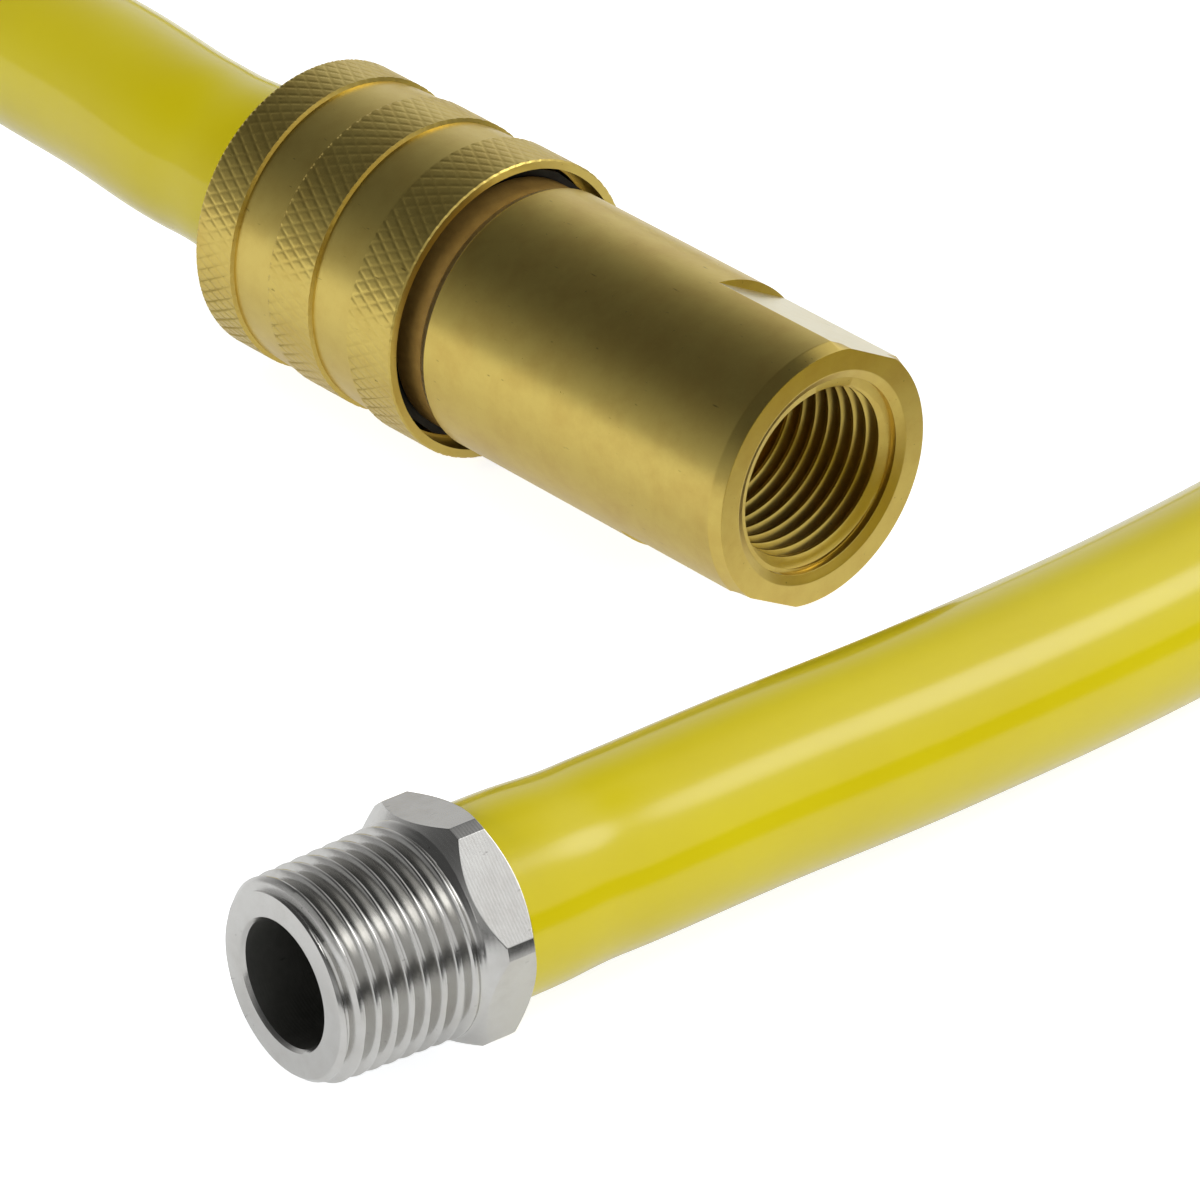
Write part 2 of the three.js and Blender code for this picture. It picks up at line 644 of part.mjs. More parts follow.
// Retainer disc that the valve spring pushes against, with round gas ports
function buildRetainer() {
  const discR = chamberR - CLEARANCE;
  const reach = discR - RETAINER_PORT_INSET;
  const disc = new THREE.Shape();
  disc.absarc(0, 0, discR, 0, 2 * Math.PI);
  const hole = (x, y, diameter) => new THREE.Path().absarc(x, y, diameter / 2, 0, 2 * Math.PI, true);
  disc.holes.push(hole(0, 0, 2 * (pinR + CLEARANCE)));
  for (let i = 0; i < RETAINER_PORT_COUNT; i += 1) {
    const angle = (2 * Math.PI * i) / RETAINER_PORT_COUNT;
    disc.holes.push(hole(reach * Math.cos(angle), reach * Math.sin(angle), RETAINER_PORT_D));
  }
  const plate = new THREE.ExtrudeGeometry(disc, {
    depth: RETAINER_THICKNESS, bevelEnabled: false, curveSegments: DISC_ROUND,
  });
  plate.translate(0, 0, retainerStart);
  return toSolid(plate);
}

// Snap ring that holds the retainer in its groove, open over part of its round
function buildSnapRing() {
  const outerR = chamberR + SNAP_GROOVE_DEPTH - CLEARANCE;
  const innerR = outerR - SNAP_RING_SECTION;
  const open = THREE.MathUtils.degToRad(SNAP_RING_OPEN_DEG / 2);
  const outline = new THREE.Shape();
  outline.absarc(0, 0, outerR, open, 2 * Math.PI - open, false);
  outline.absarc(0, 0, innerR, 2 * Math.PI - open, open, true);
  const plate = new THREE.ExtrudeGeometry(outline, {
    depth: SNAP_RING_THICKNESS, bevelEnabled: false, curveSegments: SMALL_ROUND,
  });
  plate.translate(0, 0, snapStart);
  return toSolid(plate);
}

// Seal of the plug: a rubber ring in the groove of the socket's bore
function buildPlugSeal() {
  const meanR = plugR + CLEARANCE + PLUG_SEAL_SECTION / 2;
  const torus = new THREE.TorusGeometry(meanR, PLUG_SEAL_SECTION / 2, SEAL_SECTION_ROUND, SMALL_ROUND);
  torus.translate(0, 0, plugSealStation);
  return toSolid(torus);
}

// A locking ball in its hole through the barrel
function buildBall(index) {
  const angle = (2 * Math.PI * index) / BALL_COUNT;
  const ball = new THREE.SphereGeometry(ballR, BALL_ROUND, BALL_ROUND / 2);
  ball.translate(ballCentreR * Math.cos(angle), ballCentreR * Math.sin(angle), ballStation);
  return toSolid(ball);
}

// Crimped ferrule round a fitting's tail, pushed into the end of the hose wall
function buildFerrule(start) {
  return ring(2 * ferruleInnerR, 2 * ferruleR, start, start + FERRULE_LENGTH);
}

// The pose of an end fitting: its local Z runs along the heading, its local Y points up.
function endPose(x, y, height, headingDeg) {
  const heading = THREE.MathUtils.degToRad(headingDeg);
  const along = new THREE.Vector3(Math.cos(heading), Math.sin(heading), 0);
  const up = new THREE.Vector3(0, 0, 1);
  const across = new THREE.Vector3().crossVectors(up, along);
  return new THREE.Matrix4().makeBasis(across, up, along).setPosition(x, y, height);
}

// Height of the nipple's axis with the hexagon's lowest edge on the floor
function nippleHeight() {
  const halfFlat = Math.acos(hexFlatR / hexCornerR);
  let lowest = 0;
  for (let side = 0; side < HEX_SIDES; side += 1) {
    const flatMiddle = THREE.MathUtils.degToRad(HEX_TURN_DEG + (360 * side) / HEX_SIDES);
    for (const edge of [-halfFlat, halfFlat]) {
      lowest = Math.max(lowest, -hexCornerR * Math.sin(flatMiddle + edge));
    }
  }
  return lowest;
}

const nipplePose = endPose(NIPPLE_X, NIPPLE_Y, nippleHeight(), NIPPLE_HEADING_DEG);
const couplingPose = endPose(COUPLING_X, COUPLING_Y, sleeveR, COUPLING_HEADING_DEG);

// Hose: one tube along its route, thicker over the ferrules, with a slot for each ferrule
function buildHose() {
  const nippleEnd = HEX_END + CLEARANCE;
  const plugEnd = collarEnd + CLEARANCE;
  const wallMiddleR = (hoseR + ferruleR) / 2;
  const at = (pose, distance) => new THREE.Vector3(0, 0, distance).applyMatrix4(pose);
  const route = [
    at(nipplePose, nippleEnd),
    at(nipplePose, nippleEnd + HOSE_STRAIGHT / 2),
    at(nipplePose, nippleEnd + HOSE_STRAIGHT),
    ...HOSE_ROUTE.map(([x, y, z]) => new THREE.Vector3(x, y, z)),
    at(couplingPose, plugEnd + HOSE_STRAIGHT),
    at(couplingPose, plugEnd + HOSE_STRAIGHT / 2),
    at(couplingPose, plugEnd),
  ];
  const curve = new THREE.CatmullRomCurve3(route, false, 'centripetal');
  curve.arcLengthDivisions = HOSE_CURVE_PARTS;
  let hose = alongCurve(roundSection(HOSE_D, HOSE_SIDES, 2 * hoseBoreR), curve, HOSE_STEPS);
  for (const [pose, start] of [[nipplePose, nippleEnd], [couplingPose, plugEnd]]) {
    const swell = turned([
      [wallMiddleR, start],
      [hoseR + HOSE_SWELL, start],
      [hoseR + HOSE_SWELL, start + HOSE_END_LENGTH - OVERRUN],
      [wallMiddleR, start + HOSE_END_LENGTH + OVERRUN],
    ], SMALL_ROUND);
    const slot = ring(
      2 * (ferruleInnerR - CLEARANCE),
      2 * (ferruleR + CLEARANCE),
      start - OVERRUN,
      start + FERRULE_LENGTH + CLEARANCE,
    );
    const placing = pose.toArray();
    hose = hose.add(swell.transform(placing)).subtract(slot.transform(placing));
  }
  return hose;
}

// The two end fittings stand in groups of their own, each in its own pose
const object = new THREE.Group();
const nippleEnd = new THREE.Group();
const coupling = new THREE.Group();
nippleEnd.applyMatrix4(nipplePose);
coupling.applyMatrix4(couplingPose);
object.add(nippleEnd, coupling);

function addPart(group, name, solid, material) {
  const mesh = new THREE.Mesh(toGeometry(solid), material);
  mesh.name = name;
  group.add(mesh);
}

addPart(object, 'gas_hose', buildHose(), yellowCover);
addPart(nippleEnd, 'threaded_nipple', buildNipple(), stainless);
addPart(nippleEnd, 'nipple_ferrule', buildFerrule(HEX_END + CLEARANCE), crimpSteel);
addPart(coupling, 'plug_ferrule', buildFerrule(collarEnd + CLEARANCE), crimpSteel);
addPart(coupling, 'coupling_plug', buildPlug(), brass);
addPart(coupling, 'socket_body', buildSocketBody(), brass);
addPart(coupling, 'plug_seal_ring', buildPlugSeal(), blackRubber);
addPart(coupling, 'release_sleeve', buildSleeve(), brass);
addPart(coupling, 'sleeve_spring_washer',
  ring(2 * (barrelR + CLEARANCE), 2 * (sleeveChamberR - CLEARANCE), washerStart, washerEnd), springSteel);
addPart(coupling, 'sleeve_spring', coilSpring(
  2 * sleeveSpringR, SLEEVE_SPRING_WIRE, sleeveSpringStart, sleeveSpringEnd,
  SLEEVE_SPRING_TURNS, SLEEVE_SPRING_STEPS,
), springSteel);
addPart(coupling, 'sleeve_stop_ring',
  ring(2 * (stopGrooveR + CLEARANCE), 2 * stopRingR, stopRingStart, stopRingEnd), springSteel);
addPart(coupling, 'valve_poppet', buildPoppet(), brass);
addPart(coupling, 'valve_seal', ring(
  2 * (stemR + CLEARANCE), POPPET_HEAD_D, poppetSealStart, poppetSealEnd,
), blackRubber);
addPart(coupling, 'valve_spring', coilSpring(
  2 * valveSpringR, VALVE_SPRING_WIRE, valveSpringStart, valveSpringEnd,
  VALVE_SPRING_TURNS, VALVE_SPRING_STEPS,
), springSteel);
addPart(coupling, 'valve_spring_retainer', buildRetainer(), brass);
addPart(coupling, 'retainer_snap_ring', buildSnapRing(), springSteel);
for (let i = 0; i < BALL_COUNT; i += 1) {
  addPart(coupling, `locking_ball_${i + 1}`, buildBall(i), springSteel);
}

export default object;
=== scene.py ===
"""Flexible gas hose with a threaded steel end and a brass quick release coupling.

Lengths are in metres, in the part's own frame: the floor is z = 0 and the two open ends
face the camera.
"""
import math

import bmesh
import bpy
import numpy as np
from mathutils import Matrix, Vector


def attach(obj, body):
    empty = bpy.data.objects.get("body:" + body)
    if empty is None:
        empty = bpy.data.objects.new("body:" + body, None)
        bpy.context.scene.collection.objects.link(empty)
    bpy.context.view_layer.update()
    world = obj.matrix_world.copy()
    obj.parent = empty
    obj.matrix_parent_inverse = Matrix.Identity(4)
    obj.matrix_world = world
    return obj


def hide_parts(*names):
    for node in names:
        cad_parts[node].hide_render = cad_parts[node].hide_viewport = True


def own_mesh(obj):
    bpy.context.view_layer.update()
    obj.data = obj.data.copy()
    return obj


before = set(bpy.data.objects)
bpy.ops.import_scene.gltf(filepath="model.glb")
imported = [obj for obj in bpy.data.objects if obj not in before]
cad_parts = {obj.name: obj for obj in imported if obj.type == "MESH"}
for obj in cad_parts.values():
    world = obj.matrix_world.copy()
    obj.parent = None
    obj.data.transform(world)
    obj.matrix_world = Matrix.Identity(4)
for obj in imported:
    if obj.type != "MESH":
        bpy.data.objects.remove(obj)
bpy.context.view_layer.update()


# Camera
# A long lens looks down on the two ends, as in a product photograph on a white table.
CAMERA_PLACE = (0.00581, -0.76185, 0.473)
CAMERA_PITCH = math.radians(31.37)
CAMERA_LENS = 270.0

camera_data = bpy.data.cameras.new("camera")
camera_data.lens = CAMERA_LENS
camera_data.sensor_width = 36.0
camera_data.clip_start = 0.01
camera_data.clip_end = 20.0
camera = bpy.data.objects.new("camera", camera_data)
camera.location = CAMERA_PLACE
camera.rotation_euler = (math.pi / 2 - CAMERA_PITCH, 0.0, 0.0)
bpy.context.scene.collection.objects.link(camera)
bpy.context.scene.camera = camera
bpy.context.scene.view_settings.view_transform = "Standard"


# Yellow hose
# Soft vinyl cover over the gas hose, one length that lies in a loose loop on the floor.
# Its ends are pushed over barbed tails and swell a little over the crimped ferrules.
NIPPLE_PLACE = (-0.02343, -0.07376, 0.01196)
NIPPLE_HEADING = math.radians(37.1)
COUPLING_PLACE = (0.02803, 0.01016, 0.0165)
COUPLING_HEADING = math.radians(132.82)
HOSE_START = 0.0213
HOSE_END = 0.0789
HOSE_STRAIGHT = 0.018
HOSE_RADIUS = 0.0095
HOSE_BORE = 0.00635
HOSE_ROUTE = [
    (0.0196, -0.0405, 0.01175),
    (0.0367, -0.0265, 0.01100),
    (0.0588, -0.0063, 0.00990),
    (0.0798, 0.0151, 0.00955),
    (0.0991, 0.0381, 0.00955),
    (0.1163, 0.0627, 0.00955),
    (0.1306, 0.0890, 0.00955),
    (0.1413, 0.1170, 0.00955),
    (0.1472, 0.1464, 0.00955),
    (0.1476, 0.1763, 0.00955),
    (0.1417, 0.2057, 0.00955),
    (0.1316, 0.2248, 0.00955),
    (0.1162, 0.2399, 0.00955),
    (0.0969, 0.2496, 0.00955),
    (0.0755, 0.2529, 0.00955),
    (0.0439, 0.2527, 0.00955),
    (0.0124, 0.2525, 0.00955),
    (-0.0192, 0.2523, 0.00955),
    (-0.0426, 0.2483, 0.00955),
    (-0.0633, 0.2367, 0.00955),
    (-0.0789, 0.2189, 0.00955),
    (-0.0877, 0.1968, 0.00956),
    (-0.0886, 0.1731, 0.00965),
    (-0.0816, 0.1505, 0.01030),
    (-0.0720, 0.1318, 0.01220),
    (-0.0630, 0.1166, 0.01390),
    (-0.0543, 0.1038, 0.01520),
    (-0.0459, 0.0924, 0.01610),
]


def end_place(place, heading):
    """The matrix of an end fitting: its Z runs from its open face toward the hose, its Y is up."""
    along = Vector((math.cos(heading), math.sin(heading), 0.0))
    up = Vector((0.0, 0.0, 1.0))
    across = up.cross(along)
    turn = Matrix((across, up, along)).transposed().to_4x4()
    return Matrix.Translation(place) @ turn


def new_piece(name, vertices, faces, material):
    """A mesh object of these points and faces, smooth except at its sharp edges."""
    mesh = bpy.data.meshes.new(name)
    mesh.from_pydata([tuple(v) for v in vertices], [], [tuple(f) for f in faces])
    work = bmesh.new()
    work.from_mesh(mesh)
    bmesh.ops.remove_doubles(work, verts=work.verts, dist=1e-7)
    bmesh.ops.dissolve_degenerate(work, edges=work.edges, dist=1e-8)
    work.to_mesh(mesh)
    work.free()
    mesh.materials.append(material)
    mesh.shade_smooth()
    mesh.set_sharp_from_angle(angle=math.radians(32))
    piece = bpy.data.objects.new(name, mesh)
    bpy.context.scene.collection.objects.link(piece)
    return piece


def node_material(name):
    """A new material, its node tree and its Principled shader."""
    material = bpy.data.materials.new(name)
    material.use_nodes = True
    tree = material.node_tree
    return material, tree, tree.nodes["Principled BSDF"]


def add_node(tree, kind, **values):
    """A node of that kind; names in values that are sockets are set, and others are its settings."""
    node = tree.nodes.new(kind)
    for key, value in values.items():
        if key in node.inputs:
            node.inputs[key].default_value = value
        else:
            setattr(node, key, value)
    return node


def smooth_route(points, per_span):
    """A centripetal Catmull-Rom line through the points."""
    points = [np.array(p) for p in points]
    points = [2 * points[0] - points[1]] + points + [2 * points[-1] - points[-2]]
    line = []
    for i in range(1, len(points) - 2):
        knots = [0.0]
        for a, b in zip(points[i - 1:i + 2], points[i:i + 3]):
            knots.append(knots[-1] + np.linalg.norm(b - a) ** 0.5)
        p, t = points[i - 1:i + 3], knots
        for step in range(per_span):
            x = t[1] + (t[2] - t[1]) * step / per_span
            a1 = (t[1] - x) / (t[1] - t[0]) * p[0] + (x - t[0]) / (t[1] - t[0]) * p[1]
            a2 = (t[2] - x) / (t[2] - t[1]) * p[1] + (x - t[1]) / (t[2] - t[1]) * p[2]
            a3 = (t[3] - x) / (t[3] - t[2]) * p[2] + (x - t[2]) / (t[3] - t[2]) * p[3]
            b1 = (t[2] - x) / (t[2] - t[0]) * a1 + (x - t[0]) / (t[2] - t[0]) * a2
            b2 = (t[3] - x) / (t[3] - t[1]) * a2 + (x - t[1]) / (t[3] - t[1]) * a3
            line.append((t[2] - x) / (t[2] - t[1]) * b1 + (x - t[1]) / (t[2] - t[1]) * b2)
    line.append(points[-2])
    return np.array(line)


nipple_matrix = end_place(NIPPLE_PLACE, NIPPLE_HEADING)
coupling_matrix = end_place(COUPLING_PLACE, COUPLING_HEADING)
straight = (0.0, HOSE_STRAIGHT / 2, HOSE_STRAIGHT)
nipple_line = [nipple_matrix @ Vector((0, 0, HOSE_START + d)) for d in straight]
coupling_line = [coupling_matrix @ Vector((0, 0, HOSE_END + d)) for d in reversed(straight)]
hose_points = [tuple(p) for p in nipple_line] + HOSE_ROUTE + [tuple(p) for p in coupling_line]
hose_line = smooth_route(hose_points, 14)

HOSE_SIDES = 72
HOSE_SWELL = 0.00035
HOSE_SWELL_LENGTH = 0.0085

steps = np.linalg.norm(np.diff(hose_line, axis=0), axis=1)
travelled = np.concatenate([[0.0], np.cumsum(steps)])
directions = np.gradient(hose_line, travelled, axis=0)
directions /= np.linalg.norm(directions, axis=1)[:, None]
from_end = np.minimum(travelled, travelled[-1] - travelled)
swell = HOSE_SWELL / (1.0 + np.exp((from_end - HOSE_SWELL_LENGTH) / 0.0014))
pinch = -0.00006 * np.exp(-(((from_end - HOSE_SWELL_LENGTH - 0.004) / 0.0025) ** 2))
hose_radii = HOSE_RADIUS + swell + pinch

hose_vertices = []
hose_faces = []
across = np.cross(directions, np.array((0.0, 0.0, 1.0)))
across /= np.linalg.norm(across, axis=1)[:, None]
upward = np.cross(across, directions)
angles = np.arange(HOSE_SIDES) * 2 * math.pi / HOSE_SIDES
for centre, side, up, radius in zip(hose_line, across, upward, hose_radii):
    for angle in angles:
        hose_vertices.append(centre + radius * (math.cos(angle) * side + math.sin(angle) * up))
for centre, side, up in zip(hose_line, across, upward):
    for angle in angles:
        hose_vertices.append(centre + HOSE_BORE * (math.cos(angle) * side + math.sin(angle) * up))
rings = len(hose_line)
inner = rings * HOSE_SIDES
for ring in range(rings - 1):
    for k in range(HOSE_SIDES):
        a = ring * HOSE_SIDES + k
        b = ring * HOSE_SIDES + (k + 1) % HOSE_SIDES
        c, d = b + HOSE_SIDES, a + HOSE_SIDES
        hose_faces.append((a, d, c, b))
        hose_faces.append((inner + a, inner + b, inner + c, inner + d))
for k in range(HOSE_SIDES):
    n = (k + 1) % HOSE_SIDES
    last = (rings - 1) * HOSE_SIDES
    hose_faces.append((k, n, inner + n, inner + k))
    hose_faces.append((last + n, last + k, inner + last + k, inner + last + n))

vinyl, tree, shader = node_material("yellow_vinyl")
shader.inputs["Specular IOR Level"].default_value = 0.12
shader.inputs["Coat Weight"].default_value = 0.85
shader.inputs["Coat Roughness"].default_value = 0.13
place = add_node(tree, "ShaderNodeUVMap", uv_map="hose_uv")
stretch = add_node(tree, "ShaderNodeMapping", Scale=(4.0, 60.0, 1.0))
cloud = add_node(tree, "ShaderNodeTexNoise", Scale=1.0, Detail=3.0)
shade = add_node(tree, "ShaderNodeMix", data_type="RGBA")
shade.inputs["A"].default_value = (0.565, 0.455, 0.001, 1)
shade.inputs["B"].default_value = (0.635, 0.545, 0.002, 1)
grain = add_node(tree, "ShaderNodeMapping", Scale=(22.0, 260.0, 1.0))
ripple = add_node(tree, "ShaderNodeTexNoise", Scale=1.0, Detail=2.0)
wave = add_node(tree, "ShaderNodeBump", Strength=0.25, Distance=0.0002)
gloss = add_node(tree, "ShaderNodeMapRange")
gloss.inputs["To Min"].default_value = 0.26
gloss.inputs["To Max"].default_value = 0.38
tree.links.new(place.outputs["UV"], stretch.inputs["Vector"])
tree.links.new(place.outputs["UV"], grain.inputs["Vector"])
tree.links.new(stretch.outputs["Vector"], cloud.inputs["Vector"])
tree.links.new(cloud.outputs["Fac"], shade.inputs["Factor"])
tree.links.new(shade.outputs["Result"], shader.inputs["Base Color"])
tree.links.new(grain.outputs["Vector"], ripple.inputs["Vector"])
tree.links.new(ripple.outputs["Fac"], wave.inputs["Height"])
tree.links.new(wave.outputs["Normal"], shader.inputs["Normal"])
tree.links.new(cloud.outputs["Fac"], gloss.inputs["Value"])
tree.links.new(gloss.outputs["Result"], shader.inputs["Roughness"])

hose = new_piece("hose", hose_vertices, hose_faces, vinyl)
hose_uv = hose.data.uv_layers.new(name="hose_uv")
hose_skin_points = np.array([v.co for v in hose.data.vertices])
nearest = np.empty(len(hose_skin_points), dtype=int)
for start in range(0, len(hose_skin_points), 2000):
    part = hose_skin_points[start:start + 2000]
    reach = ((part[:, None, :] - hose_line[None, :, :]) ** 2).sum(axis=2)
    nearest[start:start + 2000] = reach.argmin(axis=1)
offset = hose_skin_points - hose_line[nearest]
around = np.arctan2((offset * upward[nearest]).sum(axis=1), (offset * across[nearest]).sum(axis=1))
around = around / (2 * math.pi) + 0.5
for polygon in hose.data.polygons:
    turns = around[list(polygon.vertices)]
    wraps = turns.max() - turns.min() > 0.5
    for loop, vertex, turn in zip(polygon.loop_indices, polygon.vertices, turns):
        turn = turn + 1.0 if wraps and turn < 0.5 else turn
        hose_uv.data[loop].uv = (turn, travelled[nearest[vertex]])

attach(hose, "hose")
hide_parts("gas_hose")


# Threaded nipple
# One piece of stainless steel: a half-inch taper pipe thread, a hexagon for the spanner with
# its corners turned down, and a barbed tail inside the hose.  It is bored through.
PITCH = 0.001814
THREAD_MAJOR = 0.0104775
THREAD_MINOR = 0.0093155
TAPER = 1 / 32
GAUGE = 0.0082
THREAD_END = 0.0155
FACE_RADIUS = 0.0092
LEAD = 0.0013
NIPPLE_BORE = 0.0064
TAIL_BORE = 0.0048
HALF_HEX = 0.011
HEX_CORNER = 0.0123
HEX_END = 0.021
HEX_CHAMFER = 0.00095
HEX_BACK = 0.0110
HEX_TURN = math.radians(16.9)
TAIL_RADIUS = 0.00605
TAIL_VALLEY = 0.00555
TAIL_END = 0.034
RUN_OUT_START = 0.0132
BARB_COUNT = 3
BARB_LENGTH = 0.00433
BARB_RISE = 0.0013
BORE_EDGE_LENGTH = 0.0004
BORE_EDGE_HEIGHT = 0.0003


def thread_height(s, angle):
    """Height of a right-hand thread over its root, from 0 to 1, with rounded crest and root."""
    phase = np.mod(s / PITCH - angle / (2 * math.pi), 1.0)
    rise = 1.0 - np.abs(2.0 * phase - 1.0)
    flank = np.clip((rise - 0.13) / 0.74, 0.0, 1.0)
    return 0.4 * flank + 0.6 * flank * flank * (3.0 - 2.0 * flank)


def columns(count, extra=()):
    """Angles once round, both ends included, with exact ones for edges that run along the axis."""
    even = np.arange(count) * 2 * math.pi / count
    extra = np.mod(np.array(extra), 2 * math.pi)
    kept = [a for a in even if len(extra) == 0 or np.abs(a - extra).min() > math.pi / count / 2]
    inside = np.sort(np.concatenate([[a for a in kept if a > 0], extra]))
    return np.concatenate([[0.0], inside, [2 * math.pi]])


def helix_rows(angles, start, end, rows_per_turn):
    """Rows of places along the axis that follow the thread, cut off at both ends."""
    count = int(math.ceil((end - start) / PITCH + 1) * rows_per_turn) + 1
    first = start - PITCH
    return [
        np.clip(first + PITCH * j / rows_per_turn + PITCH * angles / (2 * math.pi), start, end)
        for j in range(count)
    ]


def skin(name, rows, angles, matrix, material):
    """A closed turned surface: rows of (places along the axis, radii), with a value for every angle."""
    grid = []
    for along, radii in rows:
        s = np.broadcast_to(along, angles.shape)
        r = np.broadcast_to(radii, angles.shape)
        grid.append(np.stack([r * np.cos(angles), r * np.sin(angles), s], axis=1))
    vertices = np.concatenate(grid)
    wide = len(angles)
    faces = []
    for j in range(len(rows)):
        low = j * wide
        high = ((j + 1) % len(rows)) * wide
        for i in range(wide - 1):
            faces.append((low + i, low + i + 1, high + i + 1, high + i))
    turn = np.array(matrix.to_3x3())
    shift = np.array(matrix.translation)
    return new_piece(name, vertices @ turn.T + shift, faces, material)


def crisp(rows):
    """The same rows with one more close to each corner, so that edges stay crisp when shaded."""
    width = 0.00010
    out = [rows[0]]
    for (s0, r0), (s1, r1) in zip(rows, rows[1:]):
        length = math.hypot(np.mean(s1) - np.mean(s0), np.mean(r1) - np.mean(r0))
        if length > 4 * width:
            share = width / length
            out.append((s0 + (s1 - s0) * share, r0 + (r1 - r0) * share))
            out.append((s1 - (s1 - s0) * share, r1 - (r1 - r0) * share))
        out.append((s1, r1))
    return out


def repaint(piece, material, chosen):
    """Another material on the faces that a test of their middle and normal chooses."""
    piece.data.materials.append(material)
    for polygon in piece.data.polygons:
        if chosen(polygon.center, polygon.normal):
            polygon.material_index = len(piece.data.materials) - 1


def soften(piece, width):
    """Small rounded edges, as a deburred piece has, put into the mesh."""
    bevel = piece.modifiers.new("soften", "BEVEL")
    bevel.width = width
    bevel.segments = 2
    bevel.limit_method = "ANGLE"
    bevel.angle_limit = math.radians(50)
    bevel.use_clamp_overlap = True
    bake(piece)


def bake(piece):
    """The modifiers' result becomes the piece's own mesh."""
    evaluated = piece.evaluated_get(bpy.context.evaluated_depsgraph_get())
    mesh = bpy.data.meshes.new_from_object(evaluated)
    piece.modifiers.clear()
    piece.data = mesh
    mesh.shade_smooth()
    mesh.set_sharp_from_angle(angle=math.radians(32))


def turned_metal(name, matrix, light, dark, rough, stain, tool_marks):
    """Turned metal: faint rings from the lathe tool, cloudy stains and fine scratches."""
    material, tree, shader = node_material(name)
    shader.inputs["Metallic"].default_value = 1.0
    here = add_node(tree, "ShaderNodeTexCoord")
    local = add_node(tree, "ShaderNodeMapping", vector_type="TEXTURE")
    local.inputs["Location"].default_value = matrix.translation
    local.inputs["Rotation"].default_value = matrix.to_euler()
    cloud = add_node(tree, "ShaderNodeTexNoise", Scale=220.0, Detail=8.0, Roughness=0.7)
    cover = add_node(tree, "ShaderNodeMapRange")
    cover.inputs["From Min"].default_value = 0.42
    cover.inputs["From Max"].default_value = 0.72
    cover.inputs["To Max"].default_value = stain
    tint = add_node(tree, "ShaderNodeMix", data_type="RGBA")
    tint.inputs["A"].default_value = (*light, 1)
    tint.inputs["B"].default_value = (*dark, 1)
    stretch = add_node(tree, "ShaderNodeMapping", Scale=(2400.0, 2400.0, 600.0), Rotation=(0.5, 0.3, 0.0))
    flecks = add_node(tree, "ShaderNodeTexNoise", Scale=1.0, Detail=2.0, Roughness=0.4)
    fleck_cover = add_node(tree, "ShaderNodeMapRange")
    fleck_cover.inputs["From Min"].default_value = 0.73
    fleck_cover.inputs["From Max"].default_value = 0.80
    fleck_cover.inputs["To Max"].default_value = 0.6
    marked = add_node(tree, "ShaderNodeMix", data_type="RGBA")
    marked.inputs["B"].default_value = (*[0.35 * c for c in dark], 1)
    specks = add_node(tree, "ShaderNodeTexNoise", Scale=900.0, Detail=4.0, Roughness=0.7)
    rings = add_node(tree, "ShaderNodeTexWave", wave_type="BANDS", bands_direction="Z")
    rings.inputs["Scale"].default_value = 900.0
    rings.inputs["Distortion"].default_value = 1.2
    rings.inputs["Detail"].default_value = 2.0
    rings.inputs["Detail Scale"].default_value = 0.4
    tooled = add_node(tree, "ShaderNodeBump", Strength=tool_marks, Distance=0.00002)
    pitted = add_node(tree, "ShaderNodeBump", Strength=0.10, Distance=0.00005)
    sheen = add_node(tree, "ShaderNodeMapRange")
    sheen.inputs["To Min"].default_value = rough
    sheen.inputs["To Max"].default_value = rough + 0.12
    links = tree.links
    links.new(here.outputs["Object"], local.inputs["Vector"])
    links.new(local.outputs["Vector"], cloud.inputs["Vector"])
    links.new(local.outputs["Vector"], specks.inputs["Vector"])
    links.new(local.outputs["Vector"], rings.inputs["Vector"])
    links.new(cloud.outputs["Fac"], cover.inputs["Value"])
    links.new(cover.outputs["Result"], tint.inputs["Factor"])
    links.new(local.outputs["Vector"], stretch.inputs["Vector"])
    links.new(stretch.outputs["Vector"], flecks.inputs["Vector"])
    links.new(flecks.outputs["Fac"], fleck_cover.inputs["Value"])
    links.new(tint.outputs["Result"], marked.inputs["A"])
    links.new(fleck_cover.outputs["Result"], marked.inputs["Factor"])
    links.new(marked.outputs["Result"], shader.inputs["Base Color"])
    links.new(rings.outputs["Fac"], tooled.inputs["Height"])
    links.new(specks.outputs["Fac"], pitted.inputs["Height"])
    links.new(tooled.outputs["Normal"], pitted.inputs["Normal"])
    links.new(pitted.outputs["Normal"], shader.inputs["Normal"])
    links.new(specks.outputs["Fac"], sheen.inputs["Value"])
    links.new(sheen.outputs["Result"], shader.inputs["Roughness"])
    return material


stainless = turned_metal(
    "polished_stainless", nipple_matrix, (0.57, 0.565, 0.545), (0.45, 0.43, 0.40), 0.15, 0.5, 0.05
)

half_flat = math.acos(HALF_HEX / HEX_CORNER)
hex_edges = [
    HEX_TURN + math.pi / 3 * k + side + step
    for k in range(6) for side in (-half_flat, half_flat) for step in (-0.006, 0.0, 0.006)
]
angles = columns(216, hex_edges)
from_flat = np.mod(angles - HEX_TURN + math.pi / 6, math.pi / 3) - math.pi / 6
hex_radius = np.minimum(HEX_CORNER, HALF_HEX / np.cos(from_flat))


def crest(s):
    """Radius over the crests of the taper thread."""
    return THREAD_MAJOR + (s - GAUGE) * TAPER


def nipple_thread(s, angle):
    """Outside of the threaded part: the lead chamfer, the thread, and its run-out at the hexagon."""
    depth = THREAD_MAJOR - THREAD_MINOR
    run_out = np.clip((s - RUN_OUT_START) / (THREAD_END - RUN_OUT_START), 0.0, 1.0)
    radius = crest(s) - depth * (1.0 - thread_height(s, angle)) * (1.0 - run_out ** 1.5)
    lead = FACE_RADIUS + s * (crest(LEAD) - FACE_RADIUS) / LEAD
    return np.minimum(radius, lead)


